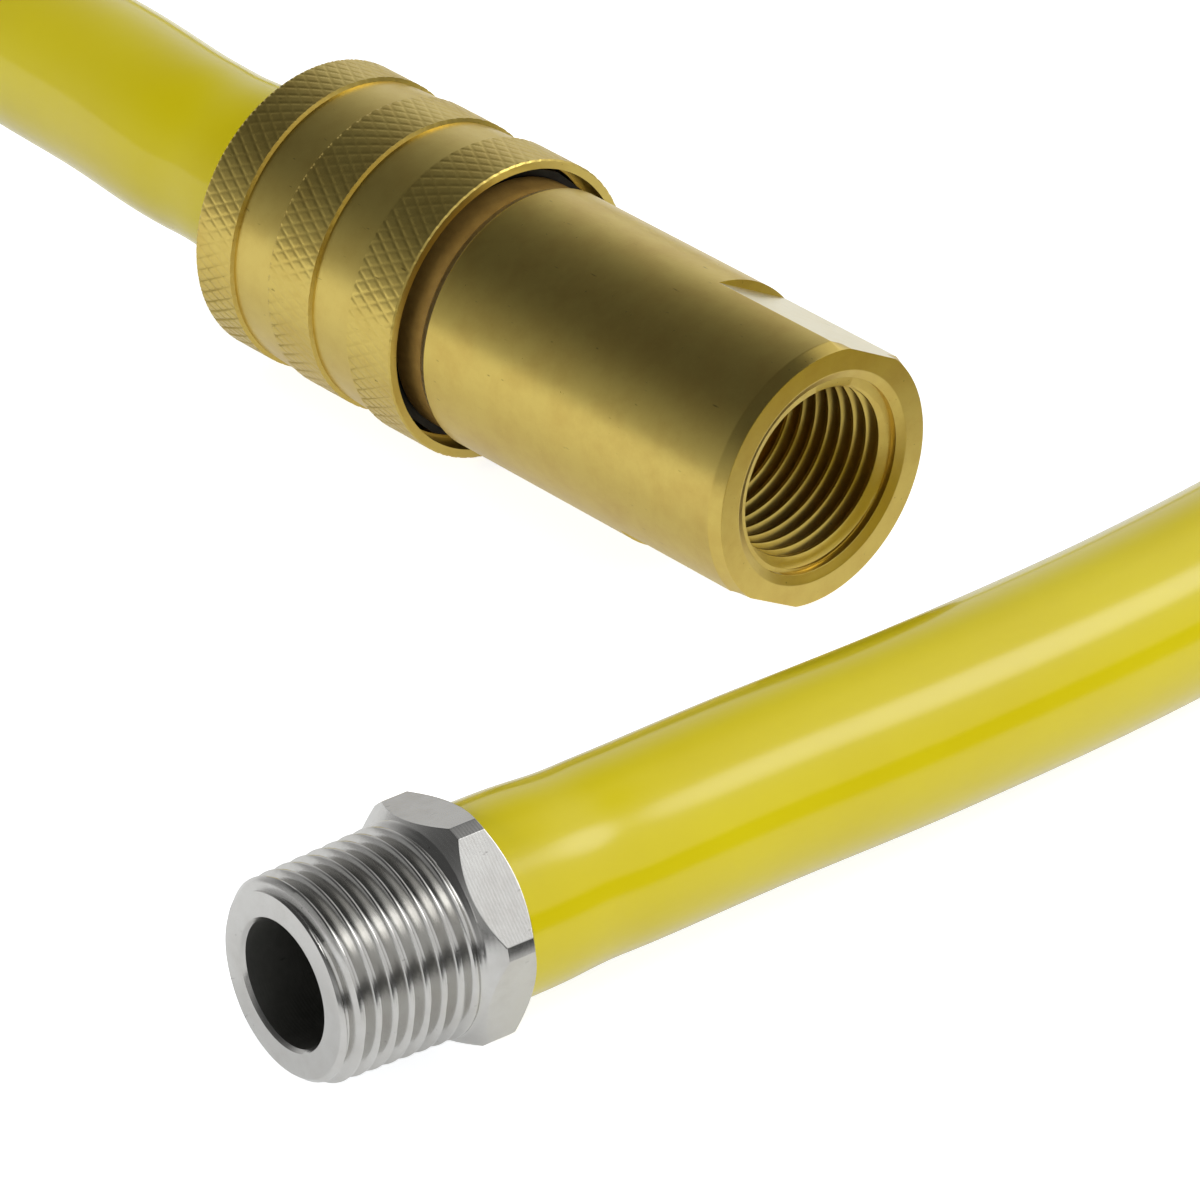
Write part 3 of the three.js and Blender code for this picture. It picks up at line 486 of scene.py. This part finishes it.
rows = [(s, nipple_thread(s, angles)) for s in helix_rows(angles, 0.0, THREAD_END, 12)]
neck = crest(THREAD_END)
chamfer = (HEX_CORNER - hex_radius) * HEX_CHAMFER / (HEX_CORNER - HEX_BACK)
rows += crisp([
    (THREAD_END + 0.0001, neck + 0.00003),
    (THREAD_END + hex_radius - neck, hex_radius),
    (HEX_END - HEX_CHAMFER + chamfer, hex_radius),
    (HEX_END, HEX_BACK),
])
rows.append((HEX_END, TAIL_VALLEY))
for barb in range(BARB_COUNT):
    rows.append((HEX_END + BARB_RISE + BARB_LENGTH * barb, TAIL_RADIUS))
    rows.append((HEX_END + BARB_LENGTH * (barb + 1), TAIL_VALLEY))
rows.append((TAIL_END, TAIL_BORE))
rows.append((THREAD_END + NIPPLE_BORE - TAIL_BORE, TAIL_BORE))
rows.append((THREAD_END, NIPPLE_BORE))
rows.append((BORE_EDGE_LENGTH, NIPPLE_BORE))
rows.append((0.0, NIPPLE_BORE + BORE_EDGE_HEIGHT))
nipple = skin("steel_nipple", rows, angles, nipple_matrix, stainless)
soften(nipple, 0.00008)
# The bore gets a much darker steel: painted shade inside the tube, on a rougher bored finish.
bore_shade_steel = turned_metal(
    "rough_bore_painted_shade", nipple_matrix, (0.30, 0.30, 0.28), (0.19, 0.19, 0.175), 0.5, 0.6, 0.2
)
to_nipple = nipple_matrix.inverted()
# Faces of the bore past the mouth's edge get the painted shade.
repaint(nipple, bore_shade_steel, lambda middle, normal: (
    (to_nipple @ middle).xy.length < NIPPLE_BORE + 0.00005 and (to_nipple @ middle).z > 0.0006
))
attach(nipple, "hose")
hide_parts("threaded_nipple")


# Socket of the coupling
# One piece of turned brass with an inside pipe thread at its mouth, two milled flats for a
# spanner, a short neck, and a barrel inside the sleeve with the holes of the locking balls.
MOUTH_RELIEF = 0.0116
MOUTH_BORE = 0.01065
BODY_RADIUS = 0.0145
BODY_END = 0.0435
NECK_RADIUS = 0.0140
SHOULDER = 0.0482
BARREL_RADIUS = 0.0125
BARREL_BORE = 0.0098
BARREL_END = 0.0750
CHAMBER_RADIUS = 0.0088
SEAT_RADIUS = 0.0066
HALF_FLATS = 0.0135
FLATS_LENGTH = 0.0175
FLATS_TURN = math.radians(120.0)
INNER_THREAD_START = 0.0012
INNER_THREAD_END = 0.0160
MOUTH_EDGE_RADIUS = 0.0140
MOUTH_EDGE = 0.0014
MOUTH_LIP = 0.0005
CLOSING_STEP = 0.0001
NECK_CHAMFER = 0.0010
STOP_GROOVE = (0.0720, 0.0736)
STOP_GROOVE_RADIUS = 0.0119
BARREL_CHAMFER = 0.0005
SEAL_GROOVE = (0.0556, 0.0576)
SEAL_GROOVE_RADIUS = 0.0115
VALVE_SEAT = (0.0399, 0.0463)
SNAP_GROOVE = (0.0173, 0.0185)
SNAP_GROOVE_RADIUS = 0.0097
BALL_HOLE_PLACE = (0.0113, 0.0, 0.0670)
BALL_HOLE_RADIUS = 0.0023
BALL_HOLE_DEPTH = 0.0042
EDGE_BREAK = 0.00008

brass = turned_metal(
    "satin_brass", coupling_matrix, (0.680, 0.520, 0.135), (0.56, 0.370, 0.085), 0.24, 0.55, 0.12
)

flat_edge = math.acos(HALF_FLATS / BODY_RADIUS)
flat_edges = [
    FLATS_TURN + math.pi * k + side + step
    for k in range(2) for side in (-flat_edge, flat_edge) for step in (-0.006, 0.0, 0.006)
]
angles = columns(240, flat_edges)
from_flat = np.mod(angles - FLATS_TURN + math.pi / 2, math.pi) - math.pi / 2
flat_radius = HALF_FLATS / np.cos(np.clip(from_flat, -1.2, 1.2))


def socket_thread(s, angle):
    """Inside of the threaded mouth, from the crests to the roots."""
    depth = THREAD_MAJOR - THREAD_MINOR
    return THREAD_MINOR + depth * (1.0 - thread_height(s, angle))


rows = [(0.0, np.minimum(MOUTH_EDGE_RADIUS, flat_radius) - CLOSING_STEP)]
rows += crisp([
    (0.0, np.minimum(MOUTH_EDGE_RADIUS, flat_radius)),
    (MOUTH_EDGE, np.minimum(BODY_RADIUS, flat_radius)),
    (FLATS_LENGTH, np.minimum(BODY_RADIUS, flat_radius)),
    (FLATS_LENGTH, BODY_RADIUS),
    (BODY_END, BODY_RADIUS),
    (BODY_END + NECK_CHAMFER, NECK_RADIUS),
    (SHOULDER, NECK_RADIUS),
    (SHOULDER, BARREL_RADIUS),
    (STOP_GROOVE[0], BARREL_RADIUS),
    (STOP_GROOVE[0], STOP_GROOVE_RADIUS),
    (STOP_GROOVE[1], STOP_GROOVE_RADIUS),
    (STOP_GROOVE[1], BARREL_RADIUS),
    (BARREL_END - BARREL_CHAMFER, BARREL_RADIUS),
    (BARREL_END, BARREL_RADIUS - BARREL_CHAMFER),
    (BARREL_END, BARREL_BORE + BARREL_CHAMFER),
    (BARREL_END - BARREL_CHAMFER, BARREL_BORE),
    (SEAL_GROOVE[1], BARREL_BORE),
    (SEAL_GROOVE[1], SEAL_GROOVE_RADIUS),
    (SEAL_GROOVE[0], SEAL_GROOVE_RADIUS),
    (SEAL_GROOVE[0], BARREL_BORE),
    (VALVE_SEAT[1], BARREL_BORE),
    (VALVE_SEAT[1], SEAT_RADIUS),
    (VALVE_SEAT[0], SEAT_RADIUS),
    (VALVE_SEAT[0], CHAMBER_RADIUS),
    (SNAP_GROOVE[1], CHAMBER_RADIUS),
    (SNAP_GROOVE[1], SNAP_GROOVE_RADIUS),
    (SNAP_GROOVE[0], SNAP_GROOVE_RADIUS),
    (SNAP_GROOVE[0], CHAMBER_RADIUS),
    (INNER_THREAD_END, CHAMBER_RADIUS),
])
inner_rows = helix_rows(angles, INNER_THREAD_START, INNER_THREAD_END, 12)
rows += [(s, socket_thread(s, angles)) for s in reversed(inner_rows)]
rows += crisp([
    (INNER_THREAD_START, MOUTH_BORE),
    (MOUTH_LIP, MOUTH_BORE),
    (0.0, MOUTH_RELIEF),
    (0.0, MOUTH_RELIEF + CLOSING_STEP),
])
socket = skin("brass_socket", rows, angles, coupling_matrix, brass)

hole_cutter = bmesh.new()
for k in range(6):
    turn = Matrix.Rotation(math.pi / 3 * k, 4, "Z")
    lay = Matrix.Translation(BALL_HOLE_PLACE) @ Matrix.Rotation(math.pi / 2, 4, "Y")
    bmesh.ops.create_cone(
        hole_cutter, cap_ends=True, segments=40, radius1=BALL_HOLE_RADIUS,
        radius2=BALL_HOLE_RADIUS, depth=BALL_HOLE_DEPTH, matrix=coupling_matrix @ turn @ lay,
    )
cutter_mesh = bpy.data.meshes.new("ball_holes")
hole_cutter.to_mesh(cutter_mesh)
hole_cutter.free()
ball_holes = bpy.data.objects.new("ball_holes", cutter_mesh)
bpy.context.scene.collection.objects.link(ball_holes)
cut = socket.modifiers.new("ball_holes", "BOOLEAN")
cut.object = ball_holes
cut.operation = "DIFFERENCE"
cut.solver = "EXACT"
bake(socket)
bpy.data.objects.remove(ball_holes)
soften(socket, EDGE_BREAK)
# The milled flats and the chamfer at the body's end get a near-white brass: a painted highlight, lighter
# than the turned brass.
painted_highlight_brass = turned_metal(
    "painted_highlight_brass", coupling_matrix, (0.93, 0.88, 0.70), (0.84, 0.76, 0.52), 0.26, 0.4, 0.0
)
flat_side = coupling_matrix.to_3x3() @ Vector((math.cos(FLATS_TURN), math.sin(FLATS_TURN), 0.0))
to_coupling = coupling_matrix.inverted()
# The neck gets a half-metal brown that stays lit under the sleeve's lip: painted bounce light from the
# sleeve, in a brown that varies at random.
neck_bounce_brass, tree, shader = node_material("neck_bounce_brass")
shader.inputs["Metallic"].default_value = 0.5
shader.inputs["Roughness"].default_value = 0.4
here = add_node(tree, "ShaderNodeTexCoord")
neck_mottle = add_node(tree, "ShaderNodeTexNoise", Scale=500.0, Detail=5.0, Roughness=0.7)
painted_bounce_tint = add_node(tree, "ShaderNodeMix", data_type="RGBA")
painted_bounce_tint.inputs["A"].default_value = (0.20, 0.105, 0.022, 1)
painted_bounce_tint.inputs["B"].default_value = (0.52, 0.33, 0.085, 1)
tree.links.new(here.outputs["Object"], neck_mottle.inputs["Vector"])
tree.links.new(neck_mottle.outputs["Fac"], painted_bounce_tint.inputs["Factor"])
tree.links.new(painted_bounce_tint.outputs["Result"], shader.inputs["Base Color"])
# The milled flats get the painted highlight.
repaint(socket, painted_highlight_brass, lambda middle, normal: (
    abs(normal.dot(flat_side)) > 0.999 and (to_coupling @ middle).z < FLATS_LENGTH
))
# The neck between the body's end and the shoulder gets the painted bounce light.
repaint(socket, neck_bounce_brass, lambda middle, normal: (
    BODY_END + NECK_CHAMFER < (to_coupling @ middle).z < SHOULDER
    and (to_coupling @ middle).xy.length > 0.0135
))
# The chamfer at the body's end gets the same painted highlight.
repaint(socket, painted_highlight_brass, lambda middle, normal: (
    BODY_END < (to_coupling @ middle).z < BODY_END + NECK_CHAMFER
    and (to_coupling @ middle).xy.length > 0.0135
))
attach(socket, "socket")
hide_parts("socket_body")


# Release sleeve
# Turned brass with three raised bands and two plain grooves between them.  The bands are
# knurled: two families of fine grooves cross at 60 degrees and leave small diamonds.
SLEEVE_START = 0.0465
SLEEVE_END = 0.0770
SLEEVE_FRONT = 0.0165
SLEEVE_BAND = 0.0163
SLEEVE_GROOVE = 0.01585
KNURL_LINES = 72
KNURL_CELLS = 10
KNURL_SLANT = math.radians(30)
KNURL_DEPTH = 0.00008
EDGE = 0.00016
FRONT_BAND_END = 0.0530
MIDDLE_BAND = (0.05925, 0.0655)
REAR_BAND_START = 0.0715
GROOVE_MIDDLES = (0.0561, 0.0685)
GROOVE_MIDDLE_RADIUS = 0.01598
SLEEVE_MOUTH_RADIUS = 0.0155
SLEEVE_MOUTH_DEPTH = 0.0034
SPRING_ROOM_RADIUS = 0.0152
SPRING_ROOM_END = 0.0620
LOCK_RADIUS = 0.0133
LOCK_END = 0.0670
RAMP_END = 0.0720
RAMP_RADIUS = 0.0143
REAR_BORE = 0.0151

knurled_brass = turned_metal(
    "knurled_brass", coupling_matrix, (0.680, 0.525, 0.140), (0.56, 0.385, 0.085), 0.25, 0.5, 0.12
)

angles = columns(KNURL_LINES * KNURL_CELLS)
row_step = 2 * math.pi * SLEEVE_BAND / (KNURL_LINES * KNURL_CELLS) / math.tan(KNURL_SLANT)


def band_rows(start, end, radius):
    """Rows of a knurled band, close enough together for its grooves."""
    count = int(round((end - start) / row_step))
    return [(start + (end - start) * k / count, radius) for k in range(count + 1)]


rows = [(SLEEVE_START, SLEEVE_FRONT - EDGE)]
rows += band_rows(SLEEVE_START + EDGE, FRONT_BAND_END, SLEEVE_FRONT)
rows += [
    (FRONT_BAND_END + EDGE, SLEEVE_BAND - EDGE),
    (GROOVE_MIDDLES[0], GROOVE_MIDDLE_RADIUS),
    (MIDDLE_BAND[0] - EDGE, SLEEVE_GROOVE),
]
rows += band_rows(MIDDLE_BAND[0], MIDDLE_BAND[1], SLEEVE_BAND)
rows += [
    (MIDDLE_BAND[1] + EDGE, SLEEVE_BAND - EDGE),
    (GROOVE_MIDDLES[1], GROOVE_MIDDLE_RADIUS),
    (REAR_BAND_START - EDGE, SLEEVE_GROOVE),
]
rows += band_rows(REAR_BAND_START, SLEEVE_END - EDGE, SLEEVE_BAND)
rows += [
    (SLEEVE_END, SLEEVE_BAND - EDGE),
    (SLEEVE_END, REAR_BORE),
    (RAMP_END, REAR_BORE),
    (RAMP_END, RAMP_RADIUS),
    (LOCK_END, LOCK_RADIUS),
    (SPRING_ROOM_END, LOCK_RADIUS),
    (SPRING_ROOM_END, SPRING_ROOM_RADIUS),
    (SLEEVE_START + SLEEVE_MOUTH_DEPTH, SPRING_ROOM_RADIUS),
    (SLEEVE_START + SLEEVE_MOUTH_DEPTH, SLEEVE_MOUTH_RADIUS),
    (SLEEVE_START, SLEEVE_MOUTH_RADIUS),
]
sleeve = skin("brass_sleeve", rows, angles, Matrix.Identity(4), knurled_brass)

knurl = bpy.data.node_groups.new("knurl", "GeometryNodeTree")
face = knurl.interface
face.new_socket("Geometry", in_out="INPUT", socket_type="NodeSocketGeometry")
knurl_inputs = {}
for label, kind, value in (
    ("Lines", "NodeSocketFloat", float(KNURL_LINES)),
    ("Slope", "NodeSocketFloat", math.tan(KNURL_SLANT) / SLEEVE_BAND),
    ("Depth", "NodeSocketFloat", KNURL_DEPTH),
    ("Groove share", "NodeSocketFloat", 1.0 / KNURL_CELLS),
    ("Lowest radius", "NodeSocketFloat", SLEEVE_BAND - 0.00005),
    ("Metal", "NodeSocketMaterial", knurled_brass),
):
    socket_in = face.new_socket(label, in_out="INPUT", socket_type=kind)
    knurl_inputs[label] = (socket_in.identifier, value)
face.new_socket("Geometry", in_out="OUTPUT", socket_type="NodeSocketGeometry")
entry = knurl.nodes.new("NodeGroupInput")
exit_node = knurl.nodes.new("NodeGroupOutput")


def math_node(operation, *inputs):
    """A Math node of the knurl's tree on sockets and numbers; its result."""
    node = knurl.nodes.new("ShaderNodeMath")
    node.operation = operation
    for slot, value in zip(node.inputs, inputs):
        if isinstance(value, (int, float)):
            slot.default_value = value
        else:
            knurl.links.new(value, slot)
    return node.outputs[0]


position = knurl.nodes.new("GeometryNodeInputPosition")
split = knurl.nodes.new("ShaderNodeSeparateXYZ")
knurl.links.new(position.outputs["Position"], split.inputs["Vector"])
x, y, z = split.outputs
angle = math_node("ARCTAN2", y, x)
share = math_node("DIVIDE", angle, 2 * math.pi)
lines_round = math_node("MULTIPLY", share, entry.outputs["Lines"])
slant = math_node("MULTIPLY", math_node("MULTIPLY", z, entry.outputs["Slope"]), entry.outputs["Lines"])
slant = math_node("DIVIDE", slant, 2 * math.pi)
grooves = []
for operation in ("ADD", "SUBTRACT"):
    phase = math_node("FRACT", math_node("ADD", math_node(operation, lines_round, slant), 100.5))
    away = math_node("ABSOLUTE", math_node("SUBTRACT", phase, 0.5))
    grooves.append(math_node("SUBTRACT", 1.0, math_node("DIVIDE", away, entry.outputs["Groove share"])))
deepest = math_node("MAXIMUM", math_node("MAXIMUM", grooves[0], grooves[1]), 0.0)
reach = math_node("SQRT", math_node("ADD", math_node("MULTIPLY", x, x), math_node("MULTIPLY", y, y)))
on_band = math_node("GREATER_THAN", reach, entry.outputs["Lowest radius"])
cut_depth = math_node("MULTIPLY", math_node("MULTIPLY", deepest, on_band), entry.outputs["Depth"])
inward = knurl.nodes.new("ShaderNodeCombineXYZ")
shrink = math_node("DIVIDE", math_node("MULTIPLY", cut_depth, -1.0), reach)
knurl.links.new(math_node("MULTIPLY", x, shrink), inward.inputs["X"])
knurl.links.new(math_node("MULTIPLY", y, shrink), inward.inputs["Y"])
move = knurl.nodes.new("GeometryNodeSetPosition")
realize = knurl.nodes.new("GeometryNodeRealizeInstances")
paint = knurl.nodes.new("GeometryNodeSetMaterial")
knurl.links.new(entry.outputs["Geometry"], move.inputs["Geometry"])
knurl.links.new(inward.outputs["Vector"], move.inputs["Offset"])
knurl.links.new(move.outputs["Geometry"], realize.inputs["Geometry"])
knurl.links.new(realize.outputs["Geometry"], paint.inputs["Geometry"])
knurl.links.new(entry.outputs["Metal"], paint.inputs["Material"])
knurl.links.new(paint.outputs["Geometry"], exit_node.inputs["Geometry"])

knurling = sleeve.modifiers.new("knurl", "NODES")
knurling.node_group = knurl
for identifier, value in knurl_inputs.values():
    knurling[identifier] = value
bake(sleeve)
sleeve.data.transform(coupling_matrix)
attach(sleeve, "sleeve")
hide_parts("release_sleeve")


# Plug of the hose
# Turned brass: its nose with the ball groove sits inside the socket, and its collar closes
# the sleeve's open end around the hose.
NOSE_START = 0.0466
NOSE_CHAMFER = 0.0010
NOSE_RADIUS = 0.0095
BALL_GROOVE = (0.0651, 0.0689)
BALL_GROOVE_RAMP = 0.0008
BALL_GROOVE_RADIUS = 0.0087
COLLAR = (0.0753, 0.0786)
COLLAR_RADIUS = 0.0130
PLUG_END = 0.0916

plug_rows = [
    (NOSE_START, NOSE_RADIUS - NOSE_CHAMFER),
    (NOSE_START + NOSE_CHAMFER, NOSE_RADIUS),
    (BALL_GROOVE[0], NOSE_RADIUS),
    (BALL_GROOVE[0] + BALL_GROOVE_RAMP, BALL_GROOVE_RADIUS),
    (BALL_GROOVE[1] - BALL_GROOVE_RAMP, BALL_GROOVE_RADIUS),
    (BALL_GROOVE[1], NOSE_RADIUS),
    (COLLAR[0], NOSE_RADIUS),
    (COLLAR[0], COLLAR_RADIUS),
    (COLLAR[1], COLLAR_RADIUS),
    (COLLAR[1], TAIL_VALLEY),
]
for barb in range(BARB_COUNT):
    plug_rows.append((COLLAR[1] + BARB_RISE + BARB_LENGTH * barb, TAIL_RADIUS))
    plug_rows.append((COLLAR[1] + BARB_LENGTH * (barb + 1), TAIL_VALLEY))
plug_rows += [(PLUG_END, TAIL_BORE), (NOSE_START, TAIL_BORE)]
plug = skin("brass_plug", plug_rows, columns(120), coupling_matrix, brass)
soften(plug, 0.00012)
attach(plug, "hose")
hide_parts("coupling_plug")


# Pieces inside the coupling and under the hose's ends
# Springs, balls, rings and valve keep their solid shapes and get their metal or rubber.  The
# sleeve's spring is a coil of its own, because it shortens as the sleeve slides.
spring_steel = turned_metal(
    "spring_steel", coupling_matrix, (0.62, 0.62, 0.63), (0.45, 0.44, 0.43), 0.22, 0.4, 0.1
)
valve_brass = turned_metal(
    "valve_brass", coupling_matrix, (0.66, 0.52, 0.20), (0.40, 0.29, 0.10), 0.28, 0.8, 0.3
)
blackened = turned_metal(
    "blackened_steel", coupling_matrix, (0.045, 0.043, 0.038), (0.025, 0.022, 0.018), 0.45, 0.8, 0.1
)
rubber, tree, shader = node_material("seal_rubber")
shader.inputs["Base Color"].default_value = (0.012, 0.012, 0.012, 1)
here = add_node(tree, "ShaderNodeTexCoord")
dust = add_node(tree, "ShaderNodeTexNoise", Scale=700.0, Detail=4.0)
matt = add_node(tree, "ShaderNodeMapRange")
matt.inputs["To Min"].default_value = 0.5
matt.inputs["To Max"].default_value = 0.8
tree.links.new(here.outputs["Object"], dust.inputs["Vector"])
tree.links.new(dust.outputs["Fac"], matt.inputs["Value"])
tree.links.new(matt.outputs["Result"], shader.inputs["Roughness"])

coil_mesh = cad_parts["sleeve_spring"].data.copy()
coil_work = bmesh.new()
coil_work.from_mesh(coil_mesh)
bmesh.ops.remove_doubles(coil_work, verts=coil_work.verts, dist=1e-7)
coil_work.to_mesh(coil_mesh)
coil_work.free()
coil_mesh.materials.clear()
coil_mesh.materials.append(blackened)
coil = bpy.data.objects.new("sleeve_coil", coil_mesh)
bpy.context.scene.collection.objects.link(coil)
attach(coil, "sleeve_turn")
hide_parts("sleeve_spring")
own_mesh(coil)

STEEL_NODES = [
    "nipple_ferrule", "plug_ferrule", "valve_spring", "retainer_snap_ring",
] + [f"locking_ball_{k}" for k in range(1, 7)]
for names, material in (
    (STEEL_NODES, spring_steel),
    (["sleeve_spring_washer", "sleeve_stop_ring"], blackened),
    (["valve_poppet", "valve_spring_retainer"], valve_brass),
    (["plug_seal_ring", "valve_seal"], rubber),
):
    for name in names:
        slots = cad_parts[name].data.materials
        slots.clear()
        slots.append(material)


# White table and light tent
# A white table under the piece, dim above and to the left, bright to the right and below.
# The table darkens far to the right in front, which draws the dark line on hose and thread.
floor_mesh = bpy.data.meshes.new("table")
floor_mesh.from_pydata([(-4, -4, 0), (4, -4, 0), (4, 4, 0), (-4, 4, 0)], [], [(0, 1, 2, 3)])
table = bpy.data.objects.new("table", floor_mesh)
bpy.context.scene.collection.objects.link(table)
white, tree, shader = node_material("white_table")
shader.inputs["Roughness"].default_value = 0.9
shader.inputs["Specular IOR Level"].default_value = 0.0
shader.inputs["Emission Color"].default_value = (0.97, 0.985, 1.0, 1)
here = add_node(tree, "ShaderNodeTexCoord")
ahead = add_node(tree, "ShaderNodeVectorMath", operation="DOT_PRODUCT")
ahead.inputs[1].default_value = (0.68, -0.73, 0.0)
sheet = add_node(tree, "ShaderNodeMapRange", interpolation_type="SMOOTHSTEP")
sheet.inputs["From Min"].default_value = 0.120
sheet.inputs["From Max"].default_value = 0.085
paper = add_node(tree, "ShaderNodeMix", data_type="RGBA")
paper.inputs["A"].default_value = (0.06, 0.06, 0.06, 1)
paper.inputs["B"].default_value = (0.66, 0.66, 0.66, 1)
tree.links.new(here.outputs["Object"], ahead.inputs[0])
tree.links.new(ahead.outputs["Value"], sheet.inputs["Value"])
tree.links.new(sheet.outputs["Result"], paper.inputs["Factor"])
tree.links.new(paper.outputs["Result"], shader.inputs["Base Color"])
path = add_node(tree, "ShaderNodeLightPath")
seen = add_node(tree, "ShaderNodeMath", operation="MULTIPLY")
shown = add_node(tree, "ShaderNodeMapRange")
shown.inputs["To Min"].default_value = 0.98
shown.inputs["To Max"].default_value = 0.78
tree.links.new(sheet.outputs["Result"], shown.inputs["Value"])
tree.links.new(shown.outputs["Result"], seen.inputs[1])
mirrored = add_node(tree, "ShaderNodeMath", operation="MAXIMUM")
on_sheet = add_node(tree, "ShaderNodeMath", operation="MULTIPLY")
half = add_node(tree, "ShaderNodeMath", operation="MULTIPLY")
half.inputs[1].default_value = 0.38
strength = add_node(tree, "ShaderNodeMath", operation="ADD")
tree.links.new(path.outputs["Is Camera Ray"], seen.inputs[0])
tree.links.new(path.outputs["Is Glossy Ray"], mirrored.inputs[0])
tree.links.new(path.outputs["Is Transmission Ray"], mirrored.inputs[1])
tree.links.new(mirrored.outputs[0], on_sheet.inputs[0])
tree.links.new(sheet.outputs["Result"], on_sheet.inputs[1])
tree.links.new(on_sheet.outputs[0], half.inputs[0])
tree.links.new(seen.outputs[0], strength.inputs[0])
tree.links.new(half.outputs[0], strength.inputs[1])
tree.links.new(strength.outputs[0], shader.inputs["Emission Strength"])
floor_mesh.materials.append(white)

world = bpy.data.worlds.new("light_tent")
bpy.context.scene.world = world
world.use_nodes = True
sky = world.node_tree
background = sky.nodes["Background"]
background.inputs["Color"].default_value = (1, 1, 1, 1)
toward = add_node(sky, "ShaderNodeTexCoord")
sides = add_node(sky, "ShaderNodeSeparateXYZ")
sky.links.new(toward.outputs["Generated"], sides.inputs["Vector"])


def rise(value, low, high, start=0.0, end=1.0):
    """A smooth step of a value from low to high."""
    ramp = add_node(sky, "ShaderNodeMapRange", interpolation_type="SMOOTHSTEP")
    ramp.inputs["From Min"].default_value = low
    ramp.inputs["From Max"].default_value = high
    ramp.inputs["To Min"].default_value = start
    ramp.inputs["To Max"].default_value = end
    sky.links.new(value, ramp.inputs["Value"])
    return ramp.outputs["Result"]


def joined(operation, first, second):
    """Two values of the tent's light, multiplied or added."""
    node = add_node(sky, "ShaderNodeMath", operation=operation)
    sky.links.new(first, node.inputs[0])
    sky.links.new(second, node.inputs[1])
    return node.outputs[0]


side, depth, height = sides.outputs
right_wall = joined("MULTIPLY", rise(side, 0.05, 0.45, end=0.85), rise(height, 0.80, 0.92, 1.0, 0.0))
right_wall = joined("MULTIPLY", right_wall, rise(height, 0.05, 0.14))
left_wall = joined("MULTIPLY", rise(side, 0.05, 0.45, 1.0, 0.0), rise(height, 0.0, 0.75, 0.44, 0.08))
back_wall = joined("MULTIPLY", rise(depth, 0.3, 0.95), rise(height, 0.15, 1.0, 0.38, 0.0))
toward_box = add_node(sky, "ShaderNodeVectorMath", operation="DOT_PRODUCT")
toward_box.inputs[1].default_value = (0.748, 0.109, 0.654)
sky.links.new(toward.outputs["Generated"], toward_box.inputs[0])
soft_box = rise(toward_box.outputs["Value"], 0.968, 0.997, end=3.3)
walls = joined("ADD", joined("ADD", right_wall, left_wall), joined("ADD", back_wall, soft_box))
sky.links.new(walls, background.inputs["Strength"])


def soft_light(name, place, target, size, power):
    """A square soft box that faces the target and isn't mirrored in metal."""
    data = bpy.data.lights.new(name, "AREA")
    data.size = size
    data.energy = power
    lamp = bpy.data.objects.new(name, data)
    lamp.location = place
    lamp.rotation_euler = (Vector(target) - Vector(place)).to_track_quat("-Z", "Y").to_euler()
    lamp.visible_glossy = False
    lamp.visible_camera = False
    bpy.context.scene.collection.objects.link(lamp)


soft_light("right_box", (1.12, 0.18, 0.98), (0.0, 0.05, 0.0), 1.0, 6.0)
soft_light("over_box", (-0.45, -0.25, 1.7), (0.0, 0.05, 0.0), 1.6, 4.5)
soft_light("low_right_box", (0.75, -0.85, 0.22), (0.0, 0.0, 0.01), 0.4, 5.0)
soft_light("low_left_box", (-0.85, -0.35, 0.40), (0.0, 0.05, 0.01), 0.5, 5.0)
